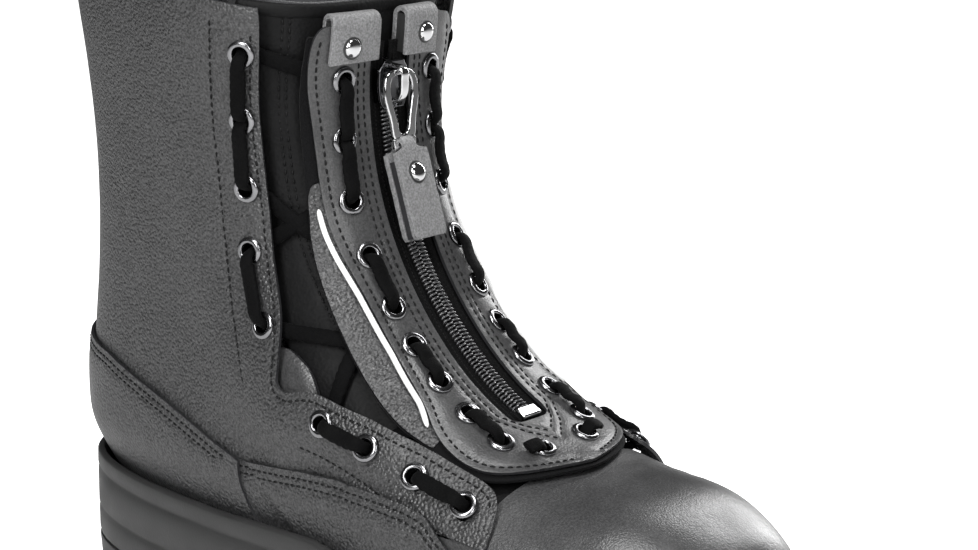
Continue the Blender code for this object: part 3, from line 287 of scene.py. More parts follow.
class Walls:
    """The lower walls of the foot shape, read by (d, z): d is how far round from the heel's back line."""

    HEIGHTS = np.arange(30.0, 112.0, 2.0)
    SAMPLES = 240

    def __init__(self):
        self.rows, self.gs, self.length = [], [], []
        steps = np.arange(0, FOOT.ROWS - 1, 0.5)
        g_share = np.linspace(0, 1, 300)
        for z in self.HEIGHTS:
            rows, gs, points = [], [], []
            for row in steps:
                girth = float(np.interp(row, np.arange(FOOT.ROWS), FOOT.girth))
                p = FOOT.on_row(np.full(g_share.shape, row), g_share * girth)
                if p[0, 2] < z or p[-1, 2] > z:
                    continue
                share = np.interp(-z, -p[:, 2], g_share)
                rows.append(row)
                gs.append(share * girth)
                points.append([np.interp(share, g_share, p[:, axis]) for axis in range(2)])
            rows, gs, points = np.array(rows[::-1]), np.array(gs[::-1]), np.array(points[::-1])
            points[:, 0] -= np.interp(rows, np.arange(FOOT.ROWS), FOOT.centre)
            # the first sample lies just beside the back line, so its distance to x = 0 counts too
            d = abs(points[0, 0]) + np.concatenate(
                [[0], np.cumsum(np.linalg.norm(np.diff(points, axis=0), axis=1))])
            back_row = float(FOOT.row(FOOT.s_of_back_height(z)))
            d, rows = np.append(0, d), np.append(back_row, rows)
            gs = np.append(np.interp(back_row, np.arange(FOOT.ROWS), FOOT.girth), gs)
            even = np.linspace(0, d[-1], self.SAMPLES)
            self.rows.append(np.interp(even, d, rows))
            self.gs.append(np.interp(even, d, gs))
            self.length.append(d[-1])
        self.rows, self.gs, self.length = map(np.array, (self.rows, self.gs, self.length))

    def locate(self, d, z):
        d, z = np.broadcast_arrays(np.asarray(d, float), np.asarray(z, float))
        level = np.clip((z - self.HEIGHTS[0]) / 2, 0, len(self.HEIGHTS) - 1.001)
        k = np.floor(level).astype(int)
        f = level - k
        found = []
        for table in (self.rows, self.gs):
            ends = []
            for n in (k, k + 1):
                place = np.clip(np.abs(d) / self.length[n], 0, 1) * (self.SAMPLES - 1)
                i = np.minimum(np.floor(place).astype(int), self.SAMPLES - 2)
                ends.append(table[n, i] * (1 - (place - i)) + table[n, i + 1] * (place - i))
            found.append(ends[0] * (1 - f) + ends[1] * f)
        return found[0], found[1] * np.where(d < 0, -1.0, 1.0)

    def point(self, d, z, lift=0.0):
        row, g = self.locate(d, z)
        lift = np.broadcast_to(np.asarray(lift, float), row.shape)
        return FOOT.on_row(row, g) + FOOT.normal(row, g) * lift[..., None]


WALLS = Walls()


# ---------------------------------------------------------------- places on the boot

GAP = FOOT.row_gap
LAST_ROW = FOOT.ROWS - 1


def t_of(s):
    return (LAST_ROW - FOOT.row(s)) * GAP


def s_of(t):
    return np.interp(LAST_ROW - np.asarray(t, float) / GAP, np.arange(FOOT.ROWS), FOOT.s)


def on_foot(t, g, lift=0.0):
    """Place in mm of (t, g): the front and the sides."""
    t, g, lift = np.broadcast_arrays(np.asarray(t, float), np.asarray(g, float), lift)
    row = LAST_ROW - t / GAP
    return FOOT.on_row(row, g) + FOOT.normal(row, g) * lift[..., None]


def on_back(t, c, lift=0.0):
    """Place in mm of (t, c): c is measured across the back line, positive on the inner side."""
    t, c, lift = np.broadcast_arrays(np.asarray(t, float), np.asarray(c, float), lift)
    row = LAST_ROW - t / GAP
    girth = np.interp(row, np.arange(FOOT.ROWS), FOOT.girth)
    g = np.where(c < 0, -1.0, 1.0) * (girth - np.abs(c))
    return FOOT.on_row(row, g) + FOOT.normal(row, g) * lift[..., None]


def on_wall(d, z, lift=0.0):
    """Place in mm of (d, z) on the lower walls, d measured round from the heel's back line."""
    return WALLS.point(d, z, lift)


def world(points):
    return (np.asarray(points, float) - (CENTRE[0], CENTRE[1], 0)) * MM


def unit(v):
    return v / (np.linalg.norm(v, axis=-1, keepdims=True) + 1e-12)


# ---------------------------------------------------------------- lines on the leather

def cut_corners(points, closed=False, times=2):
    """Cuts a quarter off a line's steps at each corner; an open line keeps its ends."""
    points = np.asarray(points, float)
    for _ in range(times):
        a, b = (points, np.roll(points, -1, 0)) if closed else (points[:-1], points[1:])
        cuts = np.stack([a * 0.75 + b * 0.25, a * 0.25 + b * 0.75], 1).reshape(-1, 2)
        points = cuts if closed else np.concatenate([points[:1], cuts[1:-1], points[-1:]])
    return points


def even(points, gap, place=None, closed=False):
    """The line again, with its points about this far apart on the boot."""
    points = np.asarray(points, float)
    if closed:
        points = np.concatenate([points, points[:1]])
    fine = []
    for a, b in zip(points, points[1:]):
        n = max(1, int(np.ceil(np.linalg.norm(b - a) / 0.8)))
        fine.append(a + (b - a) * np.linspace(0, 1, n, endpoint=False)[:, None])
    fine = np.concatenate([*fine, points[-1:]])
    solid = fine if place is None else place(fine[:, 0], fine[:, 1], 0.0)
    length = np.concatenate([[0], np.cumsum(np.linalg.norm(np.diff(solid, axis=0), axis=1))])
    count = max(2, round(length[-1] / gap) + 1)
    wanted = np.linspace(0, length[-1], count)
    out = np.stack([np.interp(wanted, length, fine[:, k]) for k in range(2)], 1)
    return out[:-1] if closed else out


def stretch(place, points):
    """How long a step of 1 is on the boot in the first and in the second direction."""
    u, v = points[:, 0], points[:, 1]
    du = np.linalg.norm(place(u + 0.5, v, 0.0) - place(u - 0.5, v, 0.0), axis=1)
    dv = np.linalg.norm(place(u, v + 0.5, 0.0) - place(u, v - 0.5, 0.0), axis=1)
    return np.maximum(du, 0.2), np.maximum(dv, 0.2)


def beside(place, line, distance):
    """The line moved sideways on the boot; positive is to its left in (first, second)."""
    line = np.asarray(line, float)
    ku, kv = stretch(place, line)
    run = np.gradient(line, axis=0) * np.stack([ku, kv], 1)
    side = unit(np.stack([-run[:, 1], run[:, 0]], 1))
    return line + distance * side / np.stack([ku, kv], 1)


def in_ring(points, ring):
    """Which points lie inside the closed ring."""
    x, y = points[:, :1], points[:, 1:]
    a, b = ring, np.roll(ring, -1, 0)
    level = (a[:, 1] > y) != (b[:, 1] > y)
    cross = x < (b[:, 0] - a[:, 0]) * (y - a[:, 1]) / (b[:, 1] - a[:, 1] + 1e-12) + a[:, 0]
    return (level & cross).sum(1) % 2 == 1


def tree_of(points):
    tree = KDTree(len(points))
    for n, p in enumerate(points):
        tree.insert(p if len(p) == 3 else (p[0], p[1], 0.0), n)
    tree.balance()
    return tree


def nearest(tree, points):
    return np.array([tree.find(p if len(p) == 3 else (p[0], p[1], 0.0))[2] for p in points])


def clear_of(points, rings):
    """Which points lie outside all the rings."""
    return np.all([~in_ring(points, ring) for ring in rings], axis=0) if rings else np.ones(len(points), bool)


def round_hole(place, centre, radius):
    """A circle on the boot about a place, in the flat directions."""
    u, v = centre
    du = place(u + 0.5, v, 0.0) - place(u - 0.5, v, 0.0)
    dv = place(u, v + 0.5, 0.0) - place(u, v - 0.5, 0.0)
    one = unit(du)
    normal = unit(np.cross(du, dv))
    two = np.cross(normal, one)
    frame_in = np.stack([du, dv], 1)
    ring = []
    for a in np.linspace(0, 2 * math.pi, HOLE_SIDES, endpoint=False):
        ray = radius * (one * math.cos(a) + two * math.sin(a))
        step_in = np.linalg.lstsq(frame_in, ray, rcond=None)[0]
        ring.append((u + step_in[0], v + step_in[1]))
    return np.array(ring)


# ---------------------------------------------------------------- making pieces

def ring_faces(rows, around, start=0):
    """Quads between rings that lie one after another, each with this many points."""
    return [(start + i * around + j, start + i * around + (j + 1) % around,
             start + (i + 1) * around + (j + 1) % around, start + (i + 1) * around + j)
            for i in range(rows - 1) for j in range(around)]


def slab_faces(rows, columns):
    """Quads of a sheet's two layers, each a grid of points, and of the rim between them."""
    count = rows * columns
    faces = [(a, a + columns, a + columns + 1, a + 1) for layer in (0, 1) for i in range(rows - 1)
             for a in range(layer * count + i * columns, layer * count + (i + 1) * columns - 1)]
    rim = [*range(columns), *((i + 1) * columns - 1 for i in range(1, rows)),
           *range(count - 2, count - columns - 1, -1), *(i * columns for i in range(rows - 2, 0, -1))]
    return faces + [(a, b, count + b, count + a) for a, b in zip(rim, rim[1:] + rim[:1])]


def add(name, points, faces, materials, body="boot", part_of=None, face_materials=None, angle=40):
    """A mesh piece from places in mm that rides on a body; edges sharper than the angle stay sharp."""
    mesh = bpy.data.meshes.new(name)
    mesh.from_pydata([tuple(map(float, p)) for p in world(points)], [], [tuple(map(int, f)) for f in faces])
    for one in materials if isinstance(materials, (list, tuple)) else [materials]:
        mesh.materials.append(one)
    if face_materials is not None:
        mesh.polygons.foreach_set("material_index", np.asarray(face_materials, np.int32))
    mesh.validate()
    mesh.update()
    mesh.shade_smooth()
    if angle:
        mesh.set_sharp_from_angle(angle=math.radians(angle))
    thing = bpy.data.objects.new(name, mesh)
    bpy.context.scene.collection.objects.link(thing)
    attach(thing, body)
    if part_of:
        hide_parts(*([part_of] if isinstance(part_of, str) else part_of))
    return thing


def soften(thing, width, segments=3, angle=48):
    """Rounds a piece's edges, in mm."""
    bevel = thing.modifiers.new("rounded", "BEVEL")
    bevel.width = width * MM
    bevel.segments = segments
    bevel.limit_method = "ANGLE"
    bevel.angle_limit = math.radians(angle)
    bevel.harden_normals = False


def waves(points, size, seed):
    """Soft random numbers from -1 to 1 over places in mm."""
    return np.array([value_noise(Vector((*(p / size),)) + Vector((seed, 0, 0))) for p in points])


RIM_GAP, SEAM_GAP, LINE_GAP = 1.6, 1.1, 1.2  # between points along a rim, a seam and an edge's line
GROOVE, GROOVE_WIDE, GROOVE_CLEAR = 0.4, 0.9, 0.55


def leather(name, place, outline, lift, thick, materials, holes=(), seams=(), gap=2.6, rim=0.25,
            wave=0.22, wave_size=16.0, part_of=None, edge=0.42, seed=0.0, shape=None):
    """A sheet cut to the outline, with holes, pressed in along its seams, and its stitches.

    rim is how far its edge is pressed down, wave the height of its soft unevenness, edge the rounding of its
    edges, and shape(u, v) any more height that it has.
    """
    outline = even(outline, RIM_GAP, place, closed=True)
    rings = [round_hole(place, h, HOLE_R) for h in holes]
    seams = [even(seam, SEAM_GAP, place) for seam in seams]
    fixed = [outline, *rings]
    extra = [line for seam in seams for line in (seam, beside(place, seam, GROOVE_WIDE),
                                                 beside(place, seam, -GROOVE_WIDE))]
    extra = np.concatenate(extra) if extra else np.empty((0, 2))
    if len(extra):
        apart = nearest(tree_of(np.concatenate(fixed)), extra) > GROOVE_CLEAR
        extra = extra[in_ring(extra, outline) & apart & clear_of(extra, rings)]
    low, high = outline.min(0), outline.max(0)
    us, vs = np.arange(low[0], high[0], gap * 0.87), np.arange(low[1], high[1], gap)
    grid = np.array([(u, v + (i % 2) * gap / 2) for i, u in enumerate(us) for v in vs])
    grid = grid[in_ring(grid, outline) & clear_of(grid, rings)]
    far = nearest(tree_of(np.concatenate([*fixed, extra])), grid) > gap * 0.5
    grid = grid[far]
    edges, start = [], 0
    for ring in fixed:
        n = len(ring)
        edges += [(start + k, start + (k + 1) % n) for k in range(n)]
        start += n
    flat = np.concatenate([*fixed, extra, grid])
    coords, _, faces, *_ = delaunay_2d_cdt([Vector(p) for p in flat], edges, [], 0, 1e-5)
    uv = np.array([tuple(p) for p in coords])
    faces = np.array([tuple(f) for f in faces])
    middle = uv[faces].mean(1)
    faces = faces[in_ring(middle, outline) & clear_of(middle, rings)]
    base = lift(uv[:, 0], uv[:, 1]) if callable(lift) else np.full(len(uv), float(lift))
    ground = place(uv[:, 0], uv[:, 1], 0.0)
    top = base + thick
    if seams:
        line = np.concatenate([place(seam[:, 0], seam[:, 1], 0.0) for seam in seams])
        top -= GROOVE * np.exp(-((nearest(tree_of(line), ground) / 0.75) ** 2))
    hem = np.concatenate([place(ring[:, 0], ring[:, 1], 0.0) for ring in fixed])
    d = nearest(tree_of(hem), ground)
    top -= rim * np.exp(-((d / 1.3) ** 2))
    if wave:
        top += wave * waves(ground, wave_size, seed) * np.clip(d / 6.0, 0, 1)
    if shape is not None:
        top += shape(uv[:, 0], uv[:, 1])
    upper, under = place(uv[:, 0], uv[:, 1], top), place(uv[:, 0], uv[:, 1], base)
    a, b, c = (upper[faces[0][k]] for k in range(3))
    out = place(uv[faces[0][:1], 0], uv[faces[0][:1], 1], 5.0)[0] - place(
        uv[faces[0][:1], 0], uv[faces[0][:1], 1], 0.0)[0]
    if np.cross(b - a, c - a) @ out < 0:
        faces = faces[:, ::-1]
    n = len(uv)
    once = {}  # the edges that only one triangle has, which are the sheet's rims
    for f in faces:
        for k in range(3):
            i, j = int(f[k]), int(f[(k + 1) % 3])
            if (j, i) in once:
                del once[(j, i)]
            else:
                once[(i, j)] = True
    sides = [(j, i, n + i, n + j) for i, j in once]
    all_faces = [tuple(f) for f in faces] + [tuple(n + k for k in f[::-1]) for f in faces] + sides
    which = [0] * (2 * len(faces)) + [1 if len(materials) > 1 else 0] * len(sides)
    thing = add(name, np.concatenate([upper, under]), all_faces, materials, part_of=part_of,
                face_materials=which, angle=50)
    soften(thing, edge)
    if seams:
        lines = []
        for seam in seams:
            u, v = seam[:, 0], seam[:, 1]
            face = (lift(u, v) if callable(lift) else lift) + thick
            rise = shape(u, v) if shape is not None else 0.0
            lines.append((place(u, v, face - GROOVE + 0.22 + rise), place(u, v, face + 1.0 + rise)))
        stitches(name + "_stitches", lines)
    return thing


STITCH, PITCH, THREAD_R = 2.15, 2.9, 0.34
STITCH_RINGS, STITCH_SIDES = 7, 6


def stitches(name, lines, pitch=PITCH, length=STITCH, radius=THREAD_R):
    """A small rounded stitch at each step of the lines; a line is its places and places above them."""
    rings = np.linspace(-1, 1, STITCH_RINGS)
    swell = np.sqrt(np.clip(1 - np.abs(rings) ** 4, 0.02, 1))
    points, faces = [], []
    for line, above in lines:
        length_at = np.concatenate([[0], np.cumsum(np.linalg.norm(np.diff(line, axis=0), axis=1))])
        if length_at[-1] < pitch:
            continue

        def on(track, at):
            return np.array([np.interp(at, length_at, track[:, k]) for k in range(3)])

        for at in np.arange(pitch / 2, length_at[-1] - pitch / 3, pitch):
            centre = on(line, at)
            up = on(above, at) - centre
            ahead = unit(on(line, at + length / 2) - on(line, at - length / 2))
            up = unit(up - ahead * (up @ ahead))
            aside = np.cross(ahead, up)
            start = len(points)
            for x, w in zip(rings, swell):
                middle = centre + ahead * (x * length / 2) - up * (0.32 * x * x)
                for a in range(STITCH_SIDES):
                    turn = a * 2 * math.pi / STITCH_SIDES
                    points.append(middle + (aside * math.cos(turn) * 1.15 + up * math.sin(turn)) * radius * w)
            faces += ring_faces(STITCH_RINGS, STITCH_SIDES, start)
            faces.append(tuple(range(start, start + STITCH_SIDES))[::-1])
            faces.append(tuple(range(len(points) - STITCH_SIDES, len(points))))
    return add(name, points, faces, LOOKS["thread"], angle=None)


def tube(name, line, wides, talls, sides, material, body="boot", around=16, square=2.0, part_of=None,
         bumps=None):
    """An oval tube along places in mm; sides are the directions of its width, and square makes it boxier."""
    line = np.asarray(line, float)
    n = len(line)
    wides, talls = np.broadcast_to(wides, n), np.broadcast_to(talls, n)
    run = unit(np.gradient(line, axis=0))
    sides = unit(sides - run * np.sum(sides * run, axis=1, keepdims=True))
    ups = np.cross(run, sides)
    turn = np.linspace(0, 2 * math.pi, around, endpoint=False)
    c, s = np.cos(turn), np.sin(turn)
    c, s = np.sign(c) * np.abs(c) ** (2 / square), np.sign(s) * np.abs(s) ** (2 / square)
    grow = np.ones((n, around)) if bumps is None else bumps(n, turn)
    points = (line[:, None] + sides[:, None] * (wides[:, None] * c * grow)[..., None]
              + ups[:, None] * (talls[:, None] * s * grow)[..., None]).reshape(-1, 3)
    ends = [tuple(range(around))[::-1], tuple(range((n - 1) * around, n * around))]
    return add(name, points, ring_faces(n, around) + ends, material, body, part_of=part_of, angle=None)


def curve_through(points, gap):
    """A smooth line through the points, as a Catmull-Rom spline sampled at this gap."""
    points = np.asarray(points, float)
    p = np.concatenate([2 * points[:1] - points[1:2], points, 2 * points[-1:] - points[-2:-1]])
    out = []
    for i in range(1, len(p) - 2):
        n = max(2, int(np.ceil(np.linalg.norm(p[i + 1] - p[i]) / gap)))
        u = np.linspace(0, 1, n, endpoint=False)[:, None]
        out.append(0.5 * (2 * p[i] + (p[i + 1] - p[i - 1]) * u
                          + (2 * p[i - 1] - 5 * p[i] + 4 * p[i + 1] - p[i + 2]) * u**2
                          + (3 * p[i] - p[i - 1] - 3 * p[i + 1] + p[i + 2]) * u**3))
    return np.concatenate([*out, points[-1:]])


def lathed(name, profile, places, material, body="boot", around=36, part_of=None, closed=True):
    """Rings or knobs: an outline of (radius, height) turned about each (origin, axis)."""
    profile = np.asarray(profile, float)
    rim = len(profile)
    points, faces = [], []
    for origin, axis in places:
        across = unit(np.cross(axis, (0.3, 0.1, 1.0)))
        other = np.cross(axis, across)
        start = len(points)
        for k in range(around):
            a = 2 * math.pi * k / around
            ray = across * math.cos(a) + other * math.sin(a)
            points.extend(origin + axis * profile[:, 1:] + ray * profile[:, :1])
        for k in range(around):
            here, there = start + k * rim, start + (k + 1) % around * rim
            for j in range(rim if closed else rim - 1):
                n = (j + 1) % rim
                faces.append((here + j, here + n, there + n, there + j))
        if not closed:
            faces.append(tuple(start + k * rim for k in range(around)))
            faces.append(tuple(start + k * rim + rim - 1 for k in range(around))[::-1])
    thing = add(name, points, faces, material, body, part_of=part_of, angle=60)
    mend(thing)
    return thing


def mend(thing):
    """Turns a closed mesh's faces outwards."""
    bm = bmesh.new()
    bm.from_mesh(thing.data)
    bmesh.ops.recalc_face_normals(bm, faces=bm.faces)
    bm.to_mesh(thing.data)
    bm.free()


def prism(name, outline, half, axes, material, body, part_of=None, inner=None, rounded=0.3, segments=3):
    """A flat outline in a frame (origin, first, second, out) given a thickness, with a hole if inner."""
    origin, first, second, out = axes
    outline = [np.asarray(p, float) for p in outline]
    points, faces = [], []
    loops = [outline] + ([[np.asarray(p, float) for p in inner]] if inner is not None else [])
    n = len(outline)
    for h in (-half, half):
        for loop in loops:
            points += [origin + first * p[0] + second * p[1] + out * h for p in loop]
    if inner is None:
        faces = [tuple(range(n)), tuple(range(n, 2 * n))[::-1]]
        faces += [(j, (j + 1) % n, n + (j + 1) % n, n + j) for j in range(n)]
    else:
        for j in range(n):
            k = (j + 1) % n
            faces += [(j, k, n + k, n + j), (2 * n + j, 3 * n + j, 3 * n + k, 2 * n + k),
                      (j, 2 * n + j, 2 * n + k, k), (n + j, n + k, 3 * n + k, 3 * n + j)]
    thing = add(name, points, faces, material, body, part_of=part_of, angle=35)
    mend(thing)
    soften(thing, rounded, segments, 30)
    return thing


# ---------------------------------------------------------------- materials

def nodes_of(material):
    tree = material.node_tree
    return tree, tree.nodes["Principled BSDF"]


def over_piece(tree, kind, scale):
    """A pattern texture over the piece's own places."""
    pattern = tree.nodes.new("ShaderNodeTex" + kind)
    pattern.inputs["Scale"].default_value = scale
    place = tree.nodes.new("ShaderNodeTexCoord")
    tree.links.new(place.outputs["Object"], pattern.inputs["Vector"])
    return pattern


def spread(tree, value, span, wanted):
    """The value, with its span (low, high) spread over the wanted one."""
    share = tree.nodes.new("ShaderNodeMapRange")
    for key, number in zip(("From Min", "From Max", "To Min", "To Max"), (*span, *wanted)):
        share.inputs[key].default_value = number
    tree.links.new(value, share.inputs["Value"])
    return share.outputs["Result"]


def plain(name, colour, rough, metal=0.0, sheen=0.0, coat=0.0, specular=None, painted_glow=0.0):
    """A material whose colour and roughness vary a little over the piece."""
    material = bpy.data.materials.new(name)
    material.use_nodes = True
    tree, shader = nodes_of(material)
    values = {"Metallic": metal, "Sheen Weight": sheen, "Sheen Roughness": 0.4, "Coat Weight": coat,
              "Coat Roughness": 0.1}
    # painted light: the emission is a painted glow that makes the piece brighter than its lamps light it
    if painted_glow:
        values.update({"Emission Color": (*colour, 1), "Emission Strength": painted_glow})
    if specular is not None:
        values["Specular IOR Level"] = specular
    for key, value in values.items():
        shader.inputs[key].default_value = value
    cloud = over_piece(tree, "Noise", 60)
    cloud.inputs["Detail"].default_value = 4
    tree.links.new(spread(tree, cloud.outputs["Fac"], (0.3, 0.7), (rough * 0.85, min(1, rough * 1.15))),
                   shader.inputs["Roughness"])
    mix = tree.nodes.new("ShaderNodeMix")
    mix.data_type = "RGBA"
    mix.inputs["A"].default_value = (*[c * 0.8 for c in colour], 1)
    mix.inputs["B"].default_value = (*[min(1, c * 1.2) for c in colour], 1)
    tree.links.new(cloud.outputs["Fac"], mix.inputs["Factor"])
    tree.links.new(mix.outputs["Result"], shader.inputs["Base Color"])
    return material


def grain_and_painted_glints(material, scale, low, high):
    """Lightens and darkens the colour in fine grains: partly the leather's own grain tone, partly painted
    glints of the grain's highlights.
    """
    tree, shader = nodes_of(material)
    grain_glints = over_piece(tree, "Noise", scale)
    grain_glints.inputs["Detail"].default_value = 2
    scaled = tree.nodes.new("ShaderNodeVectorMath")
    scaled.operation = "SCALE"
    tree.links.new(shader.inputs["Base Color"].links[0].from_socket, scaled.inputs[0])
    tree.links.new(spread(tree, grain_glints.outputs["Fac"], (0.35, 0.65), (low, high)), scaled.inputs["Scale"])
    tree.links.new(scaled.outputs["Vector"], shader.inputs["Base Color"])


def relief(material, kind, scale, strength, depth):
    """Adds a bump over any that the material already has."""
    tree, shader = nodes_of(material)
    if kind == "cells":
        pattern = over_piece(tree, "Voronoi", scale)
        pattern.feature = "SMOOTH_F1"
        pattern.inputs["Smoothness"].default_value = 0.5
        height = pattern.outputs["Distance"]
    elif kind == "bands":
        height = over_piece(tree, "Wave", scale).outputs["Fac"]
    else:
        pattern = over_piece(tree, "Noise", scale)
        pattern.inputs["Detail"].default_value = 3.0
        height = pattern.outputs["Fac"]
    bump = tree.nodes.new("ShaderNodeBump")
    bump.inputs["Strength"].default_value = strength
    bump.inputs["Distance"].default_value = depth
    bump.invert = kind == "cells"
    tree.links.new(height, bump.inputs["Height"])
    before = shader.inputs["Normal"].links
    if before:
        tree.links.new(before[0].from_socket, bump.inputs["Normal"])
    tree.links.new(bump.outputs["Normal"], shader.inputs["Normal"])


# Each look: its material's name, colour, roughness and other settings of plain, then its colour grains,
# partly the grain's own tone and partly painted glints (scale, low, high) or None, then its bumps (kind,
# scale, strength, depth in metres) in the order that they are laid on
LOOK_TABLE = {
    "leather": ("pebbled_leather", (0.045, 0.045, 0.046), 0.38, {"specular": 0.75}, (1100, 0.5, 1.6),
                ("cells", 900, 0.9, 0.0005), ("cloud", 220, 0.35, 0.0005)),
    "smooth": ("smooth_leather", (0.066, 0.066, 0.067), 0.34, {"specular": 0.75}, (1300, 0.75, 1.3),
               ("cells", 1500, 0.35, 0.0002), ("cloud", 170, 0.3, 0.0005)),
    # the tongue's leather: dull and rough for real, and its very dark colour is painted shade for the shadow
    # between the facings
    "dull_shaded": ("dull_leather_painted_shade", (0.007, 0.007, 0.0073), 0.6, {"specular": 0.2}, None,
             ("cells", 850, 0.5, 0.00025), ("cloud", 220, 0.35, 0.0005)),
    "edge": ("cut_leather_edge", (0.03, 0.03, 0.032), 0.3, {"coat": 0.3}, None, ("cloud", 900, 0.4, 0.0002)),
    "strap": ("strap_leather", (0.25, 0.25, 0.253), 0.45, {}, (1300, 0.75, 1.3),
              ("cells", 1250, 0.6, 0.0003), ("cloud", 300, 0.3, 0.0003)),
    "thread": ("thread", (0.004, 0.004, 0.0042), 0.5, {"specular": 0.3}, None),
    "felt": ("felt", (0.007, 0.007, 0.0075), 0.95, {"sheen": 0.05, "specular": 0.15}, None,
             ("cloud", 1400, 0.8, 0.0004)),
    "fleece": ("fleece", (0.07, 0.07, 0.073), 0.95, {"sheen": 0.3}, None,
               ("cloud", 700, 1.0, 0.0009), ("cloud", 2200, 0.8, 0.0004)),
    "rubber": ("rubber", (0.035, 0.035, 0.035), 0.45, {}, None, ("cloud", 1100, 0.3, 0.0002)),
    "chrome": ("chrome", (0.83, 0.83, 0.84), 0.08, {"metal": 1.0}, None, ("cloud", 120, 0.05, 0.0003)),
    "slider": ("dark_chrome", (0.12, 0.12, 0.125), 0.16, {"metal": 1.0}, None, ("cloud", 120, 0.05, 0.0003)),
    "gunmetal": ("gunmetal", (0.34, 0.34, 0.35), 0.2, {"metal": 1.0}, None, ("cloud", 500, 0.1, 0.0001)),
    "coil": ("coil_nylon", (0.07, 0.07, 0.073), 0.16, {"specular": 0.9, "coat": 0.8}, None,
             ("cloud", 900, 0.15, 0.0001)),
    "tape": ("zip_tape", (0.004, 0.004, 0.0042), 0.7, {"sheen": 0.03, "specular": 0.15}, None,
             ("cells", 1700, 0.9, 0.0003), ("cloud", 2400, 0.5, 0.0002)),
    "braid": ("lace_braid", (0.003, 0.003, 0.0032), 0.75, {"sheen": 0.02, "specular": 0.1}, None,
              ("cloud", 2600, 0.7, 0.0003)),
    # the reflective strip glows with painted light, standing in for the bright light that it sends back
    "white": ("reflective_trim_painted_glow", (0.95, 0.95, 0.94), 0.5, {"painted_glow": 0.25}, None, ("cells", 1800, 0.3, 0.0001)),
    "steel": ("plate_steel", (0.5, 0.51, 0.52), 0.32, {"metal": 1.0}, None, ("bands", 400, 0.1, 0.0001)),
    "board": ("fibre_board", (0.33, 0.25, 0.16), 0.85, {}, None, ("cloud", 900, 0.6, 0.0003)),
    "foam": ("foam", (0.3, 0.3, 0.31), 0.95, {}, None, ("cells", 1200, 0.7, 0.0003)),
    "insole": ("insole_cloth", (0.05, 0.05, 0.053), 0.9, {"sheen": 0.2}, None, ("cells", 1100, 0.6, 0.0003)),
}


def make_looks():
    looks = {}
    for key, (name, colour, rough, others, grain_glints, *bumps) in LOOK_TABLE.items():
        looks[key] = plain(name, colour, rough, **others)
        if grain_glints:
            grain_and_painted_glints(looks[key], *grain_glints)
        for bump in bumps:
            relief(looks[key], *bump)
    return looks


LOOKS = make_looks()
LEATHER, SMOOTH = [LOOKS["leather"], LOOKS["edge"]], [LOOKS["smooth"], LOOKS["edge"]]

CARRIED = {
    "collar_pad": ("foam", "foam"), "footbed": ("insole", "webbing"),
    "heel_stiffener": ("board", "fibreboard"),
    "insole_board": ("board", "fibreboard"), "puncture_plate": ("steel", "steel"),
    "safety_toe_cap": ("steel", "steel"), "shank": ("steel", "steel"),
}


def dress_carried_nodes():
    """The inner CAD nodes stay as they are, in better materials."""
    for node, (look, slot) in CARRIED.items():
        thing = frame["nodes"][node]
        thing.data.materials.clear()
        thing.data.materials.append(LOOKS[look])


# ---------------------------------------------------------------- the upper

def sided_line(points, side):
    """A line of (s, |g|) on one side, in (t, g)."""
    points = np.asarray(points, float)
    return np.stack([t_of(points[:, 0]), points[:, 1] * side], 1)


def front_lift(t, g):
    """The quarters stand off at the laces, and lie close round the heel and under the lower leathers."""
    stand = PANEL[0] - 3.2 * step(np.abs(g), 76, 104)
    place = on_foot(t, g)
    above = place[..., 2] - along(QUARTER_FOOT, place[..., 1])
    return 2.4 + (stand - 2.4) * step(above, 0.0, 15.0)


def make_quarter(name, side):
    front = cut_corners(FACING_EDGE, times=2)
    front[0] = (1.2, front[0][1])
    foot = []
    tucked = [(y, z - 5.0 * step(y, -72, -58)) for y, z in QUARTER_FOOT]
    for s in np.arange(191, 4, -3.0):
        reach = FOOT.g_where(s, tucked)
        girth = float(FOOT.full_girth(s))
        foot.append((s, min(reach, girth - 0.5)))
        if reach > girth - 0.5:
            break
    seam_top = foot[-1][0]
    back = [(s, float(FOOT.full_girth(s)) - 0.5) for s in np.arange(seam_top - 4, 3.0, -5)]
    top = [(1.2, float(FOOT.full_girth(1.2)) - 0.5)]
    outline = sided_line(list(front) + foot + back + top, side)
    edge_line = even(sided_line(front[2:-2], side), LINE_GAP, on_foot)
    seams = [trim(beside(on_foot, edge_line, 2.4 * side), 1, 1)]
    for behind in ([(6, 62), (30, 60.5), (51, 61.5), (70, 66), (84, 72), (92, 79)],
                   [(112, 73), (120, 67.5), (136, 61), (158, 56.5), (176, 54.5)]):
        seams.append(cut_corners(sided_line(behind, side)))
    holes = [(float(t_of(s)), g * side) for s, g in FACING_EYELETS]

    def fold(t, g):
        """Soft folds across the ankle, over the shaft's sides."""
        s, far = s_of(t), np.abs(g)
        across = np.exp(-(((s - 112) / 26) ** 2)) * step(far, 62, 84) * (1 - step(far, 120, 150))
        return 0.55 * across * np.sin((s - 0.42 * far) / 5.2)

    leather("quarter_leather_" + name, on_foot, outline, front_lift, PANEL[1] - PANEL[0], LEATHER, holes,
            seams, part_of="quarter_" + name, wave=0.3, wave_size=21, seed=3.0 * side, shape=fold)


def trim(line, first, last):
    """The line without this many places at its ends."""
    return line[first : len(line) - last]


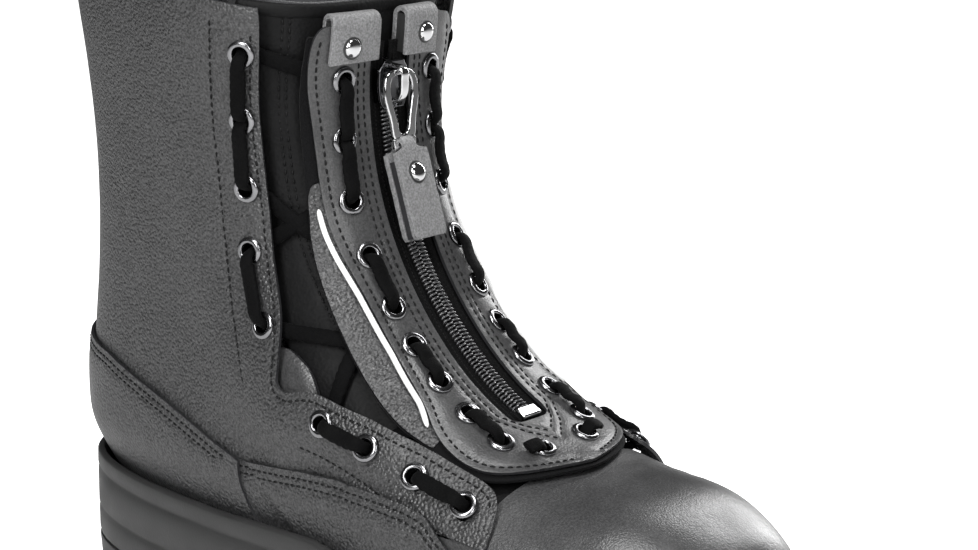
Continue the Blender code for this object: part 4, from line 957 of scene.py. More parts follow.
def make_foxing(name, side):
    floor = [(y, z - 2) for y, z in FEATHER]
    wing = WING_TOP[:-1] + [(33, 69.2), (52, 67)]
    upper_edge = [(s, FOOT.g_where(s, wing)) for s in np.arange(92, 189, 2.5)]
    heel_s = upper_edge[0][0]
    lower_edge = [(s, max(FOOT.g_where(s, floor), FOOT.g_where(s, wing) + 1.5))
                  for s in np.arange(188, heel_s - 1, -4)]
    outline = sided_line(cut_corners(upper_edge + lower_edge, closed=True, times=1), side)
    edge_line = even(sided_line(upper_edge[1:-1], side), LINE_GAP, on_foot)
    seams = [trim(beside(on_foot, edge_line, 2.2 * side), 4, 8),
             trim(beside(on_foot, edge_line, 4.4 * side), 6, 11)]

    def lift(t, g):
        """On the quarter along its top edge, and under the counter behind."""
        place = on_foot(t, g)
        below = along(COUNTER_TOP, place[..., 1]) - place[..., 2]
        under = step(below, -2.0, 0.5) * step(place[..., 1], -2, 4)
        return 2.4 + 1.9 * step(place[..., 2], 49, 62) - 1.5 * under

    leather("foxing_leather_" + name, on_foot, outline, lift, 1.3, LEATHER, (), seams,
            part_of="foxing_" + name, wave=0.2, seed=7.0 * side, rim=0.15)


def make_counter():
    ds = np.linspace(-132, 132, 90)
    ys = WALLS.point(ds, np.full(len(ds), 55.0))[:, 1]
    low = np.array([float(along(FEATHER, y)) + 2 for y in ys])
    top = np.maximum([float(along(COUNTER_TOP, y)) for y in ys], low + 4.0)
    upper_edge = np.stack([ds, top], 1)
    outline = np.concatenate([upper_edge, np.stack([ds, low], 1)[::-1]])
    line = even(upper_edge, LINE_GAP, on_wall)
    seams = [trim(beside(on_wall, line, -2.4), 6, 6), trim(beside(on_wall, line, -4.8), 9, 9)]

    def lift(d, z):
        return 2.2 + 2.0 * step(z, 49, 66)

    leather("counter_leather", on_wall, outline, lift, 1.4, LEATHER, (), seams, part_of="heel_counter",
            wave=0.2, seed=11.0)


def make_back_stay():
    foot = float(FOOT.s_of_back_height(100.5))
    edge = [(s, 9.0) for s in np.linspace(2.5, foot - 3, 20)] + [(foot - 0.6, 7.6), (foot, 5.0)]
    outline = [(float(t_of(s)), c) for s, c in edge] + [(float(t_of(s)), -c) for s, c in edge[::-1]]
    seams = [np.array([(float(t_of(s)), c) for s in np.linspace(5, foot - 4, 30)]) for c in (-6.8, 6.8)]

    def raised(t, c):
        return 0.5 * (1 - (np.abs(c) / 9.0) ** 2)

    leather("back_stay_leather", on_back, outline, 4.8, 1.4, LEATHER, (), seams, part_of="back_stay",
            wave=0.15, seed=13.0, shape=raised)


def make_collar():
    """The padded roll along the shaft's top edge."""
    t0 = float(t_of(1.35))
    girth = float(FOOT.full_girth(1.35))
    line, sides = [], []
    for c in np.linspace(-(girth - 62), girth - 62, 150):
        line.append(on_back(t0, c, -0.8))
        sides.append(on_back(t0, c, 4.0) - on_back(t0, c, -4.0))
    line = np.array(line)
    reach = np.linspace(-1, 1, len(line))
    size = np.sqrt(np.clip(1 - np.abs(reach) ** 26, 0.02, 1))
    roll = tube("collar_roll_leather", line, 5.1 * size, 1.9 * size, np.array(sides), LOOKS["smooth"],
                around=22, square=2.3, part_of="collar_roll",
                bumps=lambda n, turn: 1 + 0.025 * np.sin(np.arange(n) * 1.9)[:, None] * np.cos(turn)[None])


def make_tongue():
    width = [(2, 57), (12, 58.5), (100, 60), (130, 52), (150, 46), (190, 40), (197, 39)]
    right = sided_line(cut_corners(width, times=1), 1)
    outline = np.concatenate([right, right[::-1] * (1, -1)])
    seams = []
    for side in (-1, 1):
        seams += [sided_line([(5, 37.5), (60, 36.5), (120, 36)], side),
                  sided_line([(5, 40), (60, 39), (118, 38.5)], side)]
    # the tongue and its binding are coloured darker than the other leathers: painted shade in the gap between
    # the facings
    piece = leather("tongue_leather", on_foot, outline, TONGUE[0], TONGUE[1] - TONGUE[0],
                    [LOOKS["dull_shaded"], LOOKS["edge"]], (), seams,
                    part_of="tongue", wave=0.35, wave_size=12, seed=17.0, gap=2.8)
    t0, level = float(t_of(3.0)), -1.2
    g = np.linspace(-56.5, 56.5, 120)
    tube("tongue_binding", on_foot(t0, g, level), 2.6, 1.5,
         on_foot(t0 + 3.0, g, level) - on_foot(t0 - 2.0, g, level), LOOKS["dull_shaded"], around=14)


def make_vamp():
    rows = np.concatenate([np.arange(152, 250, 4.0), [254, 258, 262, 266, 270, 274, FOOT.toe - 6]])
    edge = [(s, FOOT.g_where(s, [(y, z - 1.0) for y, z in FEATHER])) for s in rows]
    right = [(152, 58.0), (168, 57), (178, 55), (183, 49), (186.5, 40), (188, 25), (188.5, 0)]
    outline = sided_line(cut_corners(right[::-1], times=1).tolist() + edge, 1)
    outline = np.concatenate([outline[1:], outline[::-1] * (1, -1)])

    def crease(t, g):
        """Faint creases behind the toe cap, where the boot bends."""
        s = s_of(t)
        near = np.exp(-(((s - 208) / 9) ** 2)) * (1 - step(np.abs(g), 34, 60))
        return -0.12 * near * (1 + np.cos((s + 0.004 * g * g) / 1.5))

    leather("vamp_leather", on_foot, outline, VAMP[0], VAMP[1] - VAMP[0], SMOOTH, (), (), part_of="vamp",
            wave=0.22, wave_size=24, seed=19.0, shape=crease, gap=2.8)


def make_notch_pad(name, side):
    """The rounded pad in the notch between the shaft's facing and the instep flap."""
    edge = [(91.5, 61), (94, 58), (98, 55.6), (104, 54.2), (109, 55.5), (112.5, 59), (113.5, 66), (111, 72),
            (97, 73), (92, 68)]
    outline = sided_line(cut_corners(edge, closed=True, times=2), side)
    ring = tree_of(on_foot(outline[:, 0], outline[:, 1]))

    def dome(t, g):
        flat = on_foot(t, g)
        d = nearest(ring, np.atleast_2d(flat))
        return 2.1 * np.sqrt(np.clip(1 - (1 - np.clip(d / 6.0, 0, 1)) ** 2, 0, 1)) - 0.4

    pad = leather("notch_pad_leather_" + name, on_foot, outline, 0.3, 1.2, SMOOTH, (), (),
                  part_of="notch_pad_" + name, wave=0.1, rim=0.0, gap=1.5, shape=dome, edge=0.3)


def make_lining():
    rows = np.concatenate([np.linspace(0.6, 60, 26), np.linspace(64, 250, 40), [262, 272, FOOT.toe - 14]])
    around = 110
    share = np.linspace(-1, 1, around, endpoint=False)
    points = []
    for s in rows:
        g = share * float(FOOT.full_girth(s))
        base = FOOT.point(np.full(around, s), g, LINING + 1.1)
        puff = 0.35 * waves(base, 3.2, 23.0) + 0.3 * waves(base, 11.0, 5.0)
        tuck = 1.6 * (1 - step(s, 0.6, 5.0))
        points.extend(FOOT.point(np.full(around, s), g, LINING + 0.7 + puff + tuck))
    faces = ring_faces(len(rows), around) + [tuple(range(len(points) - around, len(points)))]
    thing = add("lining_fleece", points, faces, LOOKS["fleece"], part_of="lining_bootie", angle=None)
    fatten = thing.modifiers.new("thickness", "SOLIDIFY")
    fatten.thickness = 1.2 * MM
    fatten.offset = 0


# ---------------------------------------------------------------- the zip insert

def make_panel():
    outer = cut_corners(PANEL_EDGE, times=2)
    right_slot = [(168.4, 0), (168.2, 6.0), (166.5, 8.8), (163, ZIP_GAP), (9, ZIP_GAP), (6.0, 11.0),
                  (5, 13.5), (5, 22), (6.2, 25)]
    right = np.array(right_slot + outer[1:].tolist() + [(196, 0.0)])
    left = right[1:-1][::-1] * (1, -1)
    outline = sided_line(np.concatenate([right, left]), 1)
    edge_line = even(sided_line(outer, 1)[3:], LINE_GAP, on_foot)
    seams = []
    for side in (-1, 1):
        mirrored = edge_line * (1, side)
        seams.append(trim(beside(on_foot, mirrored, -2.3 * side), 1, 0))
        seams.append(sided_line([(8, 12.2), (162, 12.2), (170, 7.0), (175.5, 0.6)], side))
        seams.append(sided_line([(8, 14.8), (163, 14.8), (173, 8.5), (180.5, 0.6)], side))
    holes = [(float(t_of(s)), g * side) for s, g in PANEL_EYELETS + [END_EYELET] for side in (-1, 1)]
    piece = leather("zip_panel_leather", on_foot, outline, PANEL[0], PANEL[1] - PANEL[0], SMOOTH, holes,
                    seams, part_of="zip_panel", wave=0.18, seed=29.0)


def make_backing():
    outer = cut_corners(BACKING_EDGE, times=1)
    right = np.array([(189, 0.0), (187.5, 9), (183, 18), (175, 23), (160, 24.6), (12, 24.6), (10, 26.5)]
                     + outer.tolist() + [(197, 0.0)])
    outline = sided_line(np.concatenate([right, right[1:-1][::-1] * (1, -1)]), 1)
    piece = leather("insert_backing_felt", on_foot, outline, BACKING[0], BACKING[1] - BACKING[0] + 0.35,
                    [LOOKS["felt"]], (), (), part_of="insert_backing", wave=0.12, seed=31.0, gap=3.0, rim=0.1,
                    edge=0.25)
    rim = [(s, g - 0.4) for s, g in cut_corners(BACKING_EDGE).tolist()[::-1] if 58 < s < 156]
    band = [(58, 24.0), (157, 24.0), (157, 36.5)] + rim + [(58, 31)]
    for name, side in (("lateral", -1), ("medial", 1)):
        strip = leather("insert_band_leather_" + name, on_foot, sided_line(band, side), 4.55, 0.8, LEATHER,
                        (), (), wave=0.1, seed=37.0 * side, gap=3.0, rim=0.15, edge=0.3)


def smoothed(line):
    for _ in range(12):
        line = np.concatenate([line[:1], line[1:-1] / 2 + (line[:-2] + line[2:]) / 4, line[-1:]])
    return line


def make_piping(name, side):
    s = np.linspace(66, 151, 110)
    g = side * (along(PANEL_EDGE, s) + 1.65)
    line = smoothed(FOOT.point(s, g, PANEL[0] + 1.3))
    sides = smoothed(FOOT.point(s, g + 1.0, 6.4) - FOOT.point(s, g - 1.0, 6.4))
    size = np.sqrt(np.clip(1 - np.abs(np.linspace(-1, 1, 110)) ** 40, 0.03, 1))
    piece = tube("reflective_strip_" + name, line, 0.95 * size, 0.8 * size, sides, LOOKS["white"], around=14,
                 square=2.8, part_of="reflective_piping_" + name)


def make_tape(name, side):
    """The zip's woven tape, with ribs along it."""
    s = np.arange(ZIP_TOP, ZIP_END - 0.5, 0.5)
    g = np.arange(1.2, 11.9, 0.45)
    n = len(g)
    points = []
    for layer in (0, 1):
        for k, one in enumerate(s):
            rib = 0.14 * np.cos(g * 2 * math.pi / 0.9 * 0.5) + 0.08 * (-1.0) ** (k + np.arange(n))
            lift = 4.55 + rib if layer == 0 else np.full(n, 4.0)
            points.extend(FOOT.point(np.full(n, one), side * g, lift))
    piece = add("zip_tape_woven_" + name, points, slab_faces(len(s), n), LOOKS["tape"],
                part_of="zip_tape_" + name, angle=None)
    mend(piece)


COIL_PITCH, WIRE_R = 1.55, 0.37


def make_coil(name, side):
    turns = (ZIP_END - 6 - 24) / COIL_PITCH
    a = np.linspace(0, 2 * math.pi * turns, int(turns * 16))
    s = 24.3 + COIL_PITCH * a / (2 * math.pi) + (COIL_PITCH / 2 if side > 0 else 0)
    g = side * (1.95 - 1.75 * np.cos(a))
    lift = 6.15 + 0.78 * np.sin(a)
    line = FOOT.point(s, g, lift)
    piece = tube("zip_coil_wire_" + name, line, WIRE_R, WIRE_R, np.tile((0.2, 0.5, 0.84), (len(line), 1)),
                 LOOKS["coil"], around=8, part_of="zip_coil_" + name)
    row = np.linspace(24, ZIP_END - 6, 100)
    thread = (FOOT.point(row, side * 5.2, 4.7), FOOT.point(row, side * 5.2, 6.0))
    stitches("zip_coil_thread_" + name, [thread], pitch=1.5, length=1.2, radius=0.22)


def make_bottom_stop():
    middle, half, half_wide = 165.0, 2.35, 4.6
    origin = FOOT.point(middle, 0.0, 6.6)
    down = unit(FOOT.point(middle + 2, 0.0, 6.6) - FOOT.point(middle - 2, 0.0, 6.6))
    across = np.array([1.0, 0, 0])
    out = np.cross(down, across)
    if out @ FOOT.normal(FOOT.row(middle), np.asarray(0.0)) < 0:
        out = -out
    outline = [(-half, -half_wide), (-half, half_wide), (half, half_wide), (half, -half_wide)]
    piece = prism("zip_bottom_stop_metal", outline, 1.55, (origin, down, across, out), LOOKS["chrome"],
                  "boot", part_of="zip_bottom_stop", rounded=0.7, segments=4)


# ---------------------------------------------------------------- slider, pull and end caps

def frame_between(start, end):
    """(origin, down, across, out) and the distance from one (s, lift) over the zip to another, in mm."""
    origin, other = FOOT.point(start[0], 0.0, start[1]), FOOT.point(end[0], 0.0, end[1])
    across = np.array([1.0, 0.0, 0.0])
    down = unit(other - origin)
    return (origin, down, across, np.cross(down, across)), float(np.linalg.norm(other - origin))


def slider_plate(name, s_range, gs, low, high, look, rounded=0.4):
    """A plate of the slider that follows the zip's curve; gs(s) is its half width."""
    rows, columns = 13, 9
    points = []
    for lift in (low, high):
        for s in np.linspace(*s_range, rows):
            points.extend(FOOT.point(np.full(columns, s), np.linspace(-gs(s), gs(s), columns), lift))
    thing = add(name, points, slab_faces(rows, columns), LOOKS[look], "zip_slider", part_of="slider_body",
                angle=35)
    mend(thing)
    soften(thing, rounded, 3, 40)


def make_slider():
    top, end = SLIDER

    def half(s):
        """Round at the mouth above, narrower where the closed zip leaves it."""
        return (6.9 - 0.8 * step(s, top + 8, end) - 2.2 * (1 - step(s, top, top + 3.5))
                - 1.2 * step(s, end - 2.5, end))

    slider_plate("slider_upper_plate", (top, end), half, 7.7, 8.8, "slider")
    slider_plate("slider_lower_plate", (top, end), half, 2.3, 3.4, "slider")
    slider_plate("slider_neck", (top + 0.3, top + 3.2), lambda s: 0.8, 3.0, 8.2, "chrome", rounded=0.2)
    for side in (-1, 1):
        s = np.linspace(top + 3.0, end - 2.2, 20)
        g = side * (half(s) - 0.55)
        tube(f"slider_rim_{'outer' if side < 0 else 'inner'}", FOOT.point(s, g, 6.6), 0.5, 1.5,
             FOOT.point(s, g + 1, 6.6) - FOOT.point(s, g - 1, 6.6), LOOKS["slider"], "zip_slider", around=12,
             square=4, part_of="slider_body")
    low, high = CROWN
    arch = [(low + 0.3, 8.6), (low + 0.5, 12.0), (low + 1.8, 13.7), (low + 5, 13.9), (high - 4.5, 13.6),
            (high - 1.6, 11.6), (high - 0.7, 8.6)]
    line = curve_through([FOOT.point(s, 0.0, lift) for s, lift in arch], 0.5)
    piece = tube("slider_crown", line, 1.75, 0.62, np.tile((1.0, 0, 0), (len(line), 1)), LOOKS["chrome"],
                 "zip_slider", around=20, square=3.2, part_of="slider_body")


def make_link():
    axes, reach = frame_between(PIVOT, TAB_PIVOT)
    outline = [(-1.2, 0), (-1.2, 4.6), (0.4, 7.0), (3.4, 8.2), (8, 8.4), (12, 7.5), (15.5, 6.2), (21, 5.5),
               (reach - 0.8, 5.3), (reach + 0.7, 4.7), (reach + 1.1, 3.2), (reach + 1.1, 0)]
    eye = [(0.6, 0), (0.7, 3.2), (2.2, 4.8), (5.0, 5.5), (8, 5.4), (12, 4.3), (16, 3.1), (18.6, 2.7),
           (20.4, 1.9), (21.2, 0)]
    slot = [(23.4, 0), (23.4, 2.6), (24.0, 3.3), (reach - 1.5, 3.3), (reach - 0.9, 2.7), (reach - 0.9, 0)]

    def loop(points):
        """The half outline with rounded corners, and its mirror image."""
        points = cut_corners(points, times=1)
        return points.tolist() + [(d, -x) for d, x in points[::-1][1:-1].tolist()]

    def ring(name, outside, inside):
        count = 64
        rings = []
        for points in (outside, inside):
            line = np.array(loop(points))
            middle = np.array([(line[:, 0].min() + line[:, 0].max()) / 2, 0.0])
            fine = even(line, 0.3, closed=True) - middle
            turn = np.arctan2(fine[:, 1], fine[:, 0])
            order = np.argsort(turn)
            wanted = np.linspace(-math.pi, math.pi, count, endpoint=False)
            far = np.interp(wanted, turn[order], np.linalg.norm(fine[order], axis=1), period=2 * math.pi)
            rings.append(middle + np.stack([np.cos(wanted), np.sin(wanted)], 1) * far[:, None])
        piece = prism(name, rings[0], 0.8, axes, LOOKS["chrome"], "pull_link", part_of="pull_link",
                      inner=rings[1], rounded=0.5, segments=4)

    body = [(d, x) for d, x in outline if d < 20] + [(21, 5.5), (22.9, 5.4), (22.9, 0)]
    foot = [(21.4, 0), (21.4, 5.4)] + [(d, x) for d, x in outline if d > 22]
    ring("pull_link_ring", body, eye)
    ring("pull_link_foot", foot, slot)


def make_tab():
    """A strap folded round the link's lower bar, its two leaves held by a rivet."""
    axes, length = frame_between(TAB_PIVOT, TAB_END)
    origin, down, across, out = axes
    gap, thick = 1.35, 1.95
    turn = np.linspace(math.pi / 2, 3 * math.pi / 2, 13)
    middle = gap + thick / 2
    strap = [(d, middle) for d in np.linspace(length, 0.2, 15)]
    strap += [(-0.6 + 1.25 * middle * math.cos(a), middle * math.sin(a)) for a in turn]
    strap += [(d, -middle) for d in np.linspace(0.2, length, 15)]
    strap = even(strap, 0.8)
    wide = FOLD_HALF + (TAB_HALF - FOLD_HALF) * step(strap[:, 0], 0.1, 1.1)
    wide = wide - 0.8 * step(strap[:, 0], length - 2.2, length) ** 2
    run = unit(np.gradient(strap, axis=0))
    outward = np.stack([run[:, 1], -run[:, 0]], 1)
    m = 13
    points = []
    for sign in (1, -1):
        for (d, h), w, (nd, nh) in zip(strap, wide, outward):
            for x in np.linspace(-1, 1, m):
                crown = 0.14 * (1 - x**4) + 0.05 * math.sin(d * 0.9 + 3 * x)
                off = sign * (thick / 2 + (crown if sign > 0 else 0) - 0.06)
                points.append(origin + down * (d + nd * off) + out * (h + nh * off) + across * (x * w))
    tab = add("pull_tab_strap", points, slab_faces(len(strap), m), LOOKS["strap"], "pull_tab",
              part_of="pull_tab", angle=40)
    mend(tab)
    soften(tab, 0.35, 3, 45)
    filling = [(4, -TAB_HALF + 0.4), (4, TAB_HALF - 0.4), (length - 0.5, TAB_HALF - 0.5),
               (length - 0.5, -TAB_HALF + 0.5)]
    spacer = prism("pull_tab_filler", filling, gap - 0.02, axes, LOOKS["edge"], "pull_tab",
                   part_of="pull_tab", rounded=0.2)
    on_axis = [(origin + down * 9.0, out)]
    head = rivet_profile(3.35, gap + thick - 0.2, 5.25)
    piece = lathed("pull_tab_rivet_head", head, on_axis, LOOKS["chrome"], "pull_tab", around=40,
                   part_of="pull_tab_rivet", closed=False)
    lathed("pull_tab_rivet_washer", rivet_washer(3.35, gap + thick + 0.05), on_axis, LOOKS["rubber"],
           "pull_tab", around=40, closed=False)
    back = [(1.2, -3.3), (3.2, -3.3), (3.3, -3.5), (3.1, -3.8), (1.2, -3.85)]
    lathed("pull_tab_rivet_back", back, on_axis, LOOKS["gunmetal"], "pull_tab", around=32, closed=False)


def rivet_profile(radius, low, top):
    """A smooth domed head on a thin rolled foot."""
    h = top - low
    dome = [(radius * math.cos(a), low + 0.25 * h + 0.75 * h * math.sin(a)) for a in np.linspace(0, 1.5, 9)]
    return [(0.9, low - 0.6), (radius * 0.94, low), *dome, (0.03, top)]


def rivet_washer(radius, low):
    """The dark ring pressed into the leather round a rivet's head."""
    return [(1.0, low - 0.2), (radius + 0.55, low - 0.15), (radius + 0.6, low + 0.12),
            (radius + 0.3, low + 0.26), (1.0, low + 0.2)]


BOX_FACES = [(0, 1, 2, 3), (7, 6, 5, 4), *ring_faces(2, 4)]


def make_end_cap(name, gs, rivet):
    """A leather clip folded over one half's upper end, with a rivet."""
    low, high = sorted(gs)
    thick = 1.75
    top, back = 8.4, 2.75
    bend = np.linspace(math.pi / 2, 3 * math.pi / 2, 11)
    centre, radius = (top + back) / 2, (top - back) / 2
    strap = [(s, top) for s in np.linspace(18.8, 6.4, 12)]
    strap += [(6.0 - (2.7 * math.cos(a - math.pi)), centre + radius * math.sin(a)) for a in bend]
    strap += [(s, back) for s in np.linspace(6.4, 18.8, 12)]
    strap = even(strap, 0.8)
    run = unit(np.gradient(strap, axis=0))
    outward = np.stack([run[:, 1], -run[:, 0]], 1)
    m = 15
    xs = np.linspace(-1, 1, m)
    points = []
    for sign in (1, -1):
        for (s, lift), (ns, nl) in zip(strap, outward):
            g = (low + high) / 2 + xs * (high - low) / 2
            crown = 0.12 * (1 - xs**4) if sign > 0 else np.zeros(m)
            off = sign * (thick / 2) + crown - 0.05
            points.extend(FOOT.point(s + ns * off, g, lift + nl * off))
    cap = add("end_cap_leather_" + name, points, slab_faces(len(strap), m), LOOKS["strap"],
              part_of="end_cap_" + name, angle=40)
    mend(cap)
    soften(cap, 0.35, 3, 45)
    low, high = low + 0.35, high - 0.35
    corners = [(5.2, low), (18.2, low), (18.2, high), (5.2, high)]
    fill = [FOOT.point(s, g, lift) for lift in (3.5, 7.6) for s, g in corners]
    block = add("end_cap_filler_" + name, fill, BOX_FACES, LOOKS["rubber"], part_of="end_cap_" + name)
    mend(block)
    s, g = rivet
    base = FOOT.point(s, g, 0.0)
    axis = FOOT.normal(FOOT.row(s), np.asarray(float(g)))
    head = rivet_profile(3.3, top + thick / 2 - 0.1, 11.1)
    piece = lathed("end_cap_rivet_head_" + name, head, [(base, axis)], LOOKS["chrome"], around=40,
                   part_of="end_cap_rivet_" + name, closed=False)
    lathed("end_cap_rivet_washer_" + name, rivet_washer(3.3, top + thick / 2 + 0.1), [(base, axis)],
           LOOKS["rubber"], around=40, closed=False)


# ---------------------------------------------------------------- eyelets and laces

def make_eyelets(name, places, side):
    """Rolled rings in the leather, as one piece."""
    spots = [(FOOT.point(s, g * side, 0.0), FOOT.normal(FOOT.row(s), np.asarray(float(g * side))))
             for s, g in places]
    ring = [(2.65, 4.1), (3.25, 4.1), (3.25, 6.9), (4.3, 6.95), (4.75, 7.15), (4.8, 7.4), (4.6, 7.7),
            (4.1, 8.0), (3.6, 8.12), (3.1, 8.1), (2.75, 7.8), (2.6, 7.2)]
    piece = lathed("eyelet_rings_" + name, ring, spots, LOOKS["gunmetal"], part_of="eyelets_" + name)


def lace_route(side):
    """The eyelets in the order the lace takes them, as runs on top of the leather."""
    panel = [(s, g * side) for s, g in PANEL_EYELETS]
    facing = [(s, g * side) for s, g in FACING_EYELETS]
    return [
        [panel[8], panel[7]], [facing[6], facing[5]], [panel[4], panel[3]],
        [facing[2], facing[1], facing[0]], [panel[0], panel[1], panel[2]], [facing[3], facing[4]],
        [panel[5], panel[6]], [facing[7], facing[8]],
    ]


def lace_line(side):
    """The lace's centre line and the widths and directions along it."""
    centre, wide, tall, across = [], [], [], []

    def put(a, b, t, lift, w, h):
        """A place this share of the way from a to b, with the run's own side direction."""
        s, g = a[0] + (b[0] - a[0]) * t, a[1] + (b[1] - a[1]) * t
        near, far = FOOT.point(*a, 0.0), FOOT.point(*b, 0.0)
        normal = FOOT.normal(FOOT.row(s), np.asarray(float(g)))
        centre.append(FOOT.point(s, g, lift))
        wide.append(w)
        tall.append(h)
        across.append(unit(np.cross(far - near, normal)))

    def on_top(a, b):
        reach = float(np.linalg.norm(FOOT.point(*b, 7.0) - FOOT.point(*a, 7.0)))
        rise = ((0, 4.6, 1.9, 1.1), (0.5, 6.8, 1.95, 1.1), (1.9, 9.1, 2.2, 1.15), (4.2, 9.6, 2.5, 1.2),
                (6.4, 9.2, 2.7, 1.2))
        for mm, lift, w, h in rise:
            put(a, b, min(mm / reach, 0.03 + mm * 0.062), lift, w, h)
        put(a, b, 0.5, 8.9, 2.75, 1.25)
        for mm, lift, w, h in rise[::-1]:
            put(a, b, 1 - min(mm / reach, 0.03 + mm * 0.062), lift, w, h)

    def under(a, b):
        reach = float(np.linalg.norm(FOOT.point(*b, 2.0) - FOOT.point(*a, 2.0)))
        put(a, b, 2.2 / reach, LACE_LIFT + 0.5, 2.3, 1.1)
        put(a, b, 5.0 / reach, LACE_LIFT + 0.1, 2.6, 1.15)
        if reach > 18:
            put(a, b, 0.5, LACE_LIFT + 0.25, 2.7, 1.2)
        put(a, b, 1 - 5.0 / reach, LACE_LIFT + 0.1, 2.6, 1.15)
        put(a, b, 1 - 2.2 / reach, LACE_LIFT + 0.5, 2.3, 1.1)

    start = (END_EYELET[0], END_EYELET[1] * side)
    loose = (start[0] - 1.0, start[1] + 6.5 * side)
    for t, lift, w, h in ((1.0, 8.7, 2.6, 1.2), (0.72, 9.2, 2.6, 1.2), (0.35, 9.4, 2.4, 1.2),
                          (0.1, 7.6, 2.1, 1.15), (0.0, 4.6, 2.0, 1.15)):
        put(start, loose, t, lift, w, h)
    previous = start
    for run in lace_route(side):
        under(previous, run[0])
        for a, b in zip(run, run[1:]):
            on_top(a, b)
        previous = run[-1]
    tail = (previous[0] - 12, previous[1] + 1.5 * side)
    for t in (0.2, 0.5, 1.0):
        put(previous, tail, t, LACE_LIFT + 0.1, 2.5, 1.1)
    centre, across = np.array(centre), np.array(across)
    for n in range(1, len(across)):
        if across[n] @ across[n - 1] < 0:
            across[n] *= -1
    table = linear_like(centre, np.column_stack([across, wide, tall]), LACE_GAP)
    return curve_through(centre, LACE_GAP), table[:, 3], table[:, 4], unit(table[:, :3])


def linear_like(points, table, gap):
    """The table's rows spread out in the same steps as curve_through takes."""
    out = []
    for i in range(len(points) - 1):
        n = max(2, int(np.ceil(np.linalg.norm(points[i + 1] - points[i]) / gap)))
        u = np.linspace(0, 1, n, endpoint=False)[:, None]
        u = u * u * (3 - 2 * u)
        out.append(table[i] * (1 - u) + table[i + 1] * u)
    return np.concatenate([*out, table[-1:]])


def make_lace(name, side):
    line, wide, tall, across = lace_line(side)
    length = np.concatenate([[0], np.cumsum(np.linalg.norm(np.diff(line, axis=0), axis=1))])

    def plait(n, turn):
        a, b = length[:, None] * 2 * math.pi / 3.1, turn[None] * 3
        return 1 + 0.055 * np.maximum(np.sin(a + b), np.sin(a - b))

    piece = tube("lace_cord_" + name, line, wide, tall, across, LOOKS["braid"], around=22, square=2.4,
                 part_of="lace_" + name, bumps=plait)


# ---------------------------------------------------------------- the sole

def sole_lift(y):
    return 5.4 - 1.7 * step(-y, 78, 96)


def sole_ring():
    """Places (x, y) round the sole, from the heel's back along the outer side and back again."""
    reach = float(np.interp(38, WALLS.HEIGHTS, WALLS.length))
    ds = np.linspace(0, reach, int(reach / SOLE_GAP))
    z = np.interp(ds, [0, 165, 215], [50, 50, 38])
    sides = []
    for side in (-1, 1):
        y = WALLS.point(ds, z)[:, 1]
        sides.append(WALLS.point(side * ds, z, sole_lift(y) + WALL)[:, :2])
    ring = np.concatenate([sides[0], sides[1][::-1][:-1]])
    for _ in range(2):
        ring = ring * 0.5 + (np.roll(ring, 1, 0) + np.roll(ring, -1, 0)) * 0.25
    return ring


def inset_ring(ring, inset):
    run = unit(np.roll(ring, -1, 0) - np.roll(ring, 1, 0))
    aside = np.stack([-run[:, 1], run[:, 0]], 1)
    middle = ring.mean(0)
    if np.sum(aside * (middle - ring)) < 0:
        aside = -aside
    return ring + aside * inset


def stack_rings(name, levels, part_of, close=True):
    """A rubber piece built up from outlines of the sole, each with a height(y) and an inset."""
    ring = sole_ring()
    count = len(ring)
    points = []
    for height, inset in levels:
        xy = inset_ring(ring, inset)
        points.extend(np.column_stack([xy, [height(y) for y in ring[:, 1]]]))
    faces = ring_faces(len(levels), count)
    if close:
        faces += [(base + j, base + j + 1, base + (count - j - 1) % count, base + (count - j) % count)
                  for base in (0, (len(levels) - 1) * count) for j in range(count // 2 - 1)]
    thing = add(name, points, faces, LOOKS["rubber"], part_of=part_of, angle=38)
    mend(thing)


def at_height(table, rise=0.0):
    return lambda y: float(along(table, y)) + rise


def between(low, high, share):
    return lambda y: float(along(low, y)) * (1 - share) + float(along(high, y)) * share


def make_sole():
    stack_rings("midsole_wall", [
        (at_height(TREAD_TOP), 0.9), (at_height(TREAD_TOP, 0.7), 0.3), (at_height(TREAD_TOP, 2.5), 0.0),
        (between(TREAD_TOP, SOLE_TOP, 0.28), 0.0), (between(TREAD_TOP, SOLE_TOP, 0.31), 0.7),
        (between(TREAD_TOP, SOLE_TOP, 0.34), 0.7), (between(TREAD_TOP, SOLE_TOP, 0.37), 0.0),
        (between(TREAD_TOP, SOLE_TOP, 0.74), 0.1), (between(TREAD_TOP, SOLE_TOP, 0.77), 0.8),
        (between(TREAD_TOP, SOLE_TOP, 0.80), 0.8), (between(TREAD_TOP, SOLE_TOP, 0.83), 0.1),
        (at_height(SOLE_TOP, -1.2), 0.2), (at_height(SOLE_TOP, -0.4), 0.6), (at_height(SOLE_TOP), 1.4),
        (at_height(SOLE_TOP, -0.1), 2.6), (at_height(SOLE_TOP, -1.2), 3.5), (at_height(SOLE_TOP, -9.0), 4.6),
    ], "midsole", close=False)
    stack_rings("outsole_slab", [
        (at_height(GROUND, 3.2), 1.6), (at_height(GROUND, 3.6), 0.7), (at_height(TREAD_TOP, -1.2), 0.0),
        (at_height(TREAD_TOP, -0.5), 0.2), (at_height(TREAD_TOP, -0.1), 1.2),
    ], "outsole")
    make_lugs()


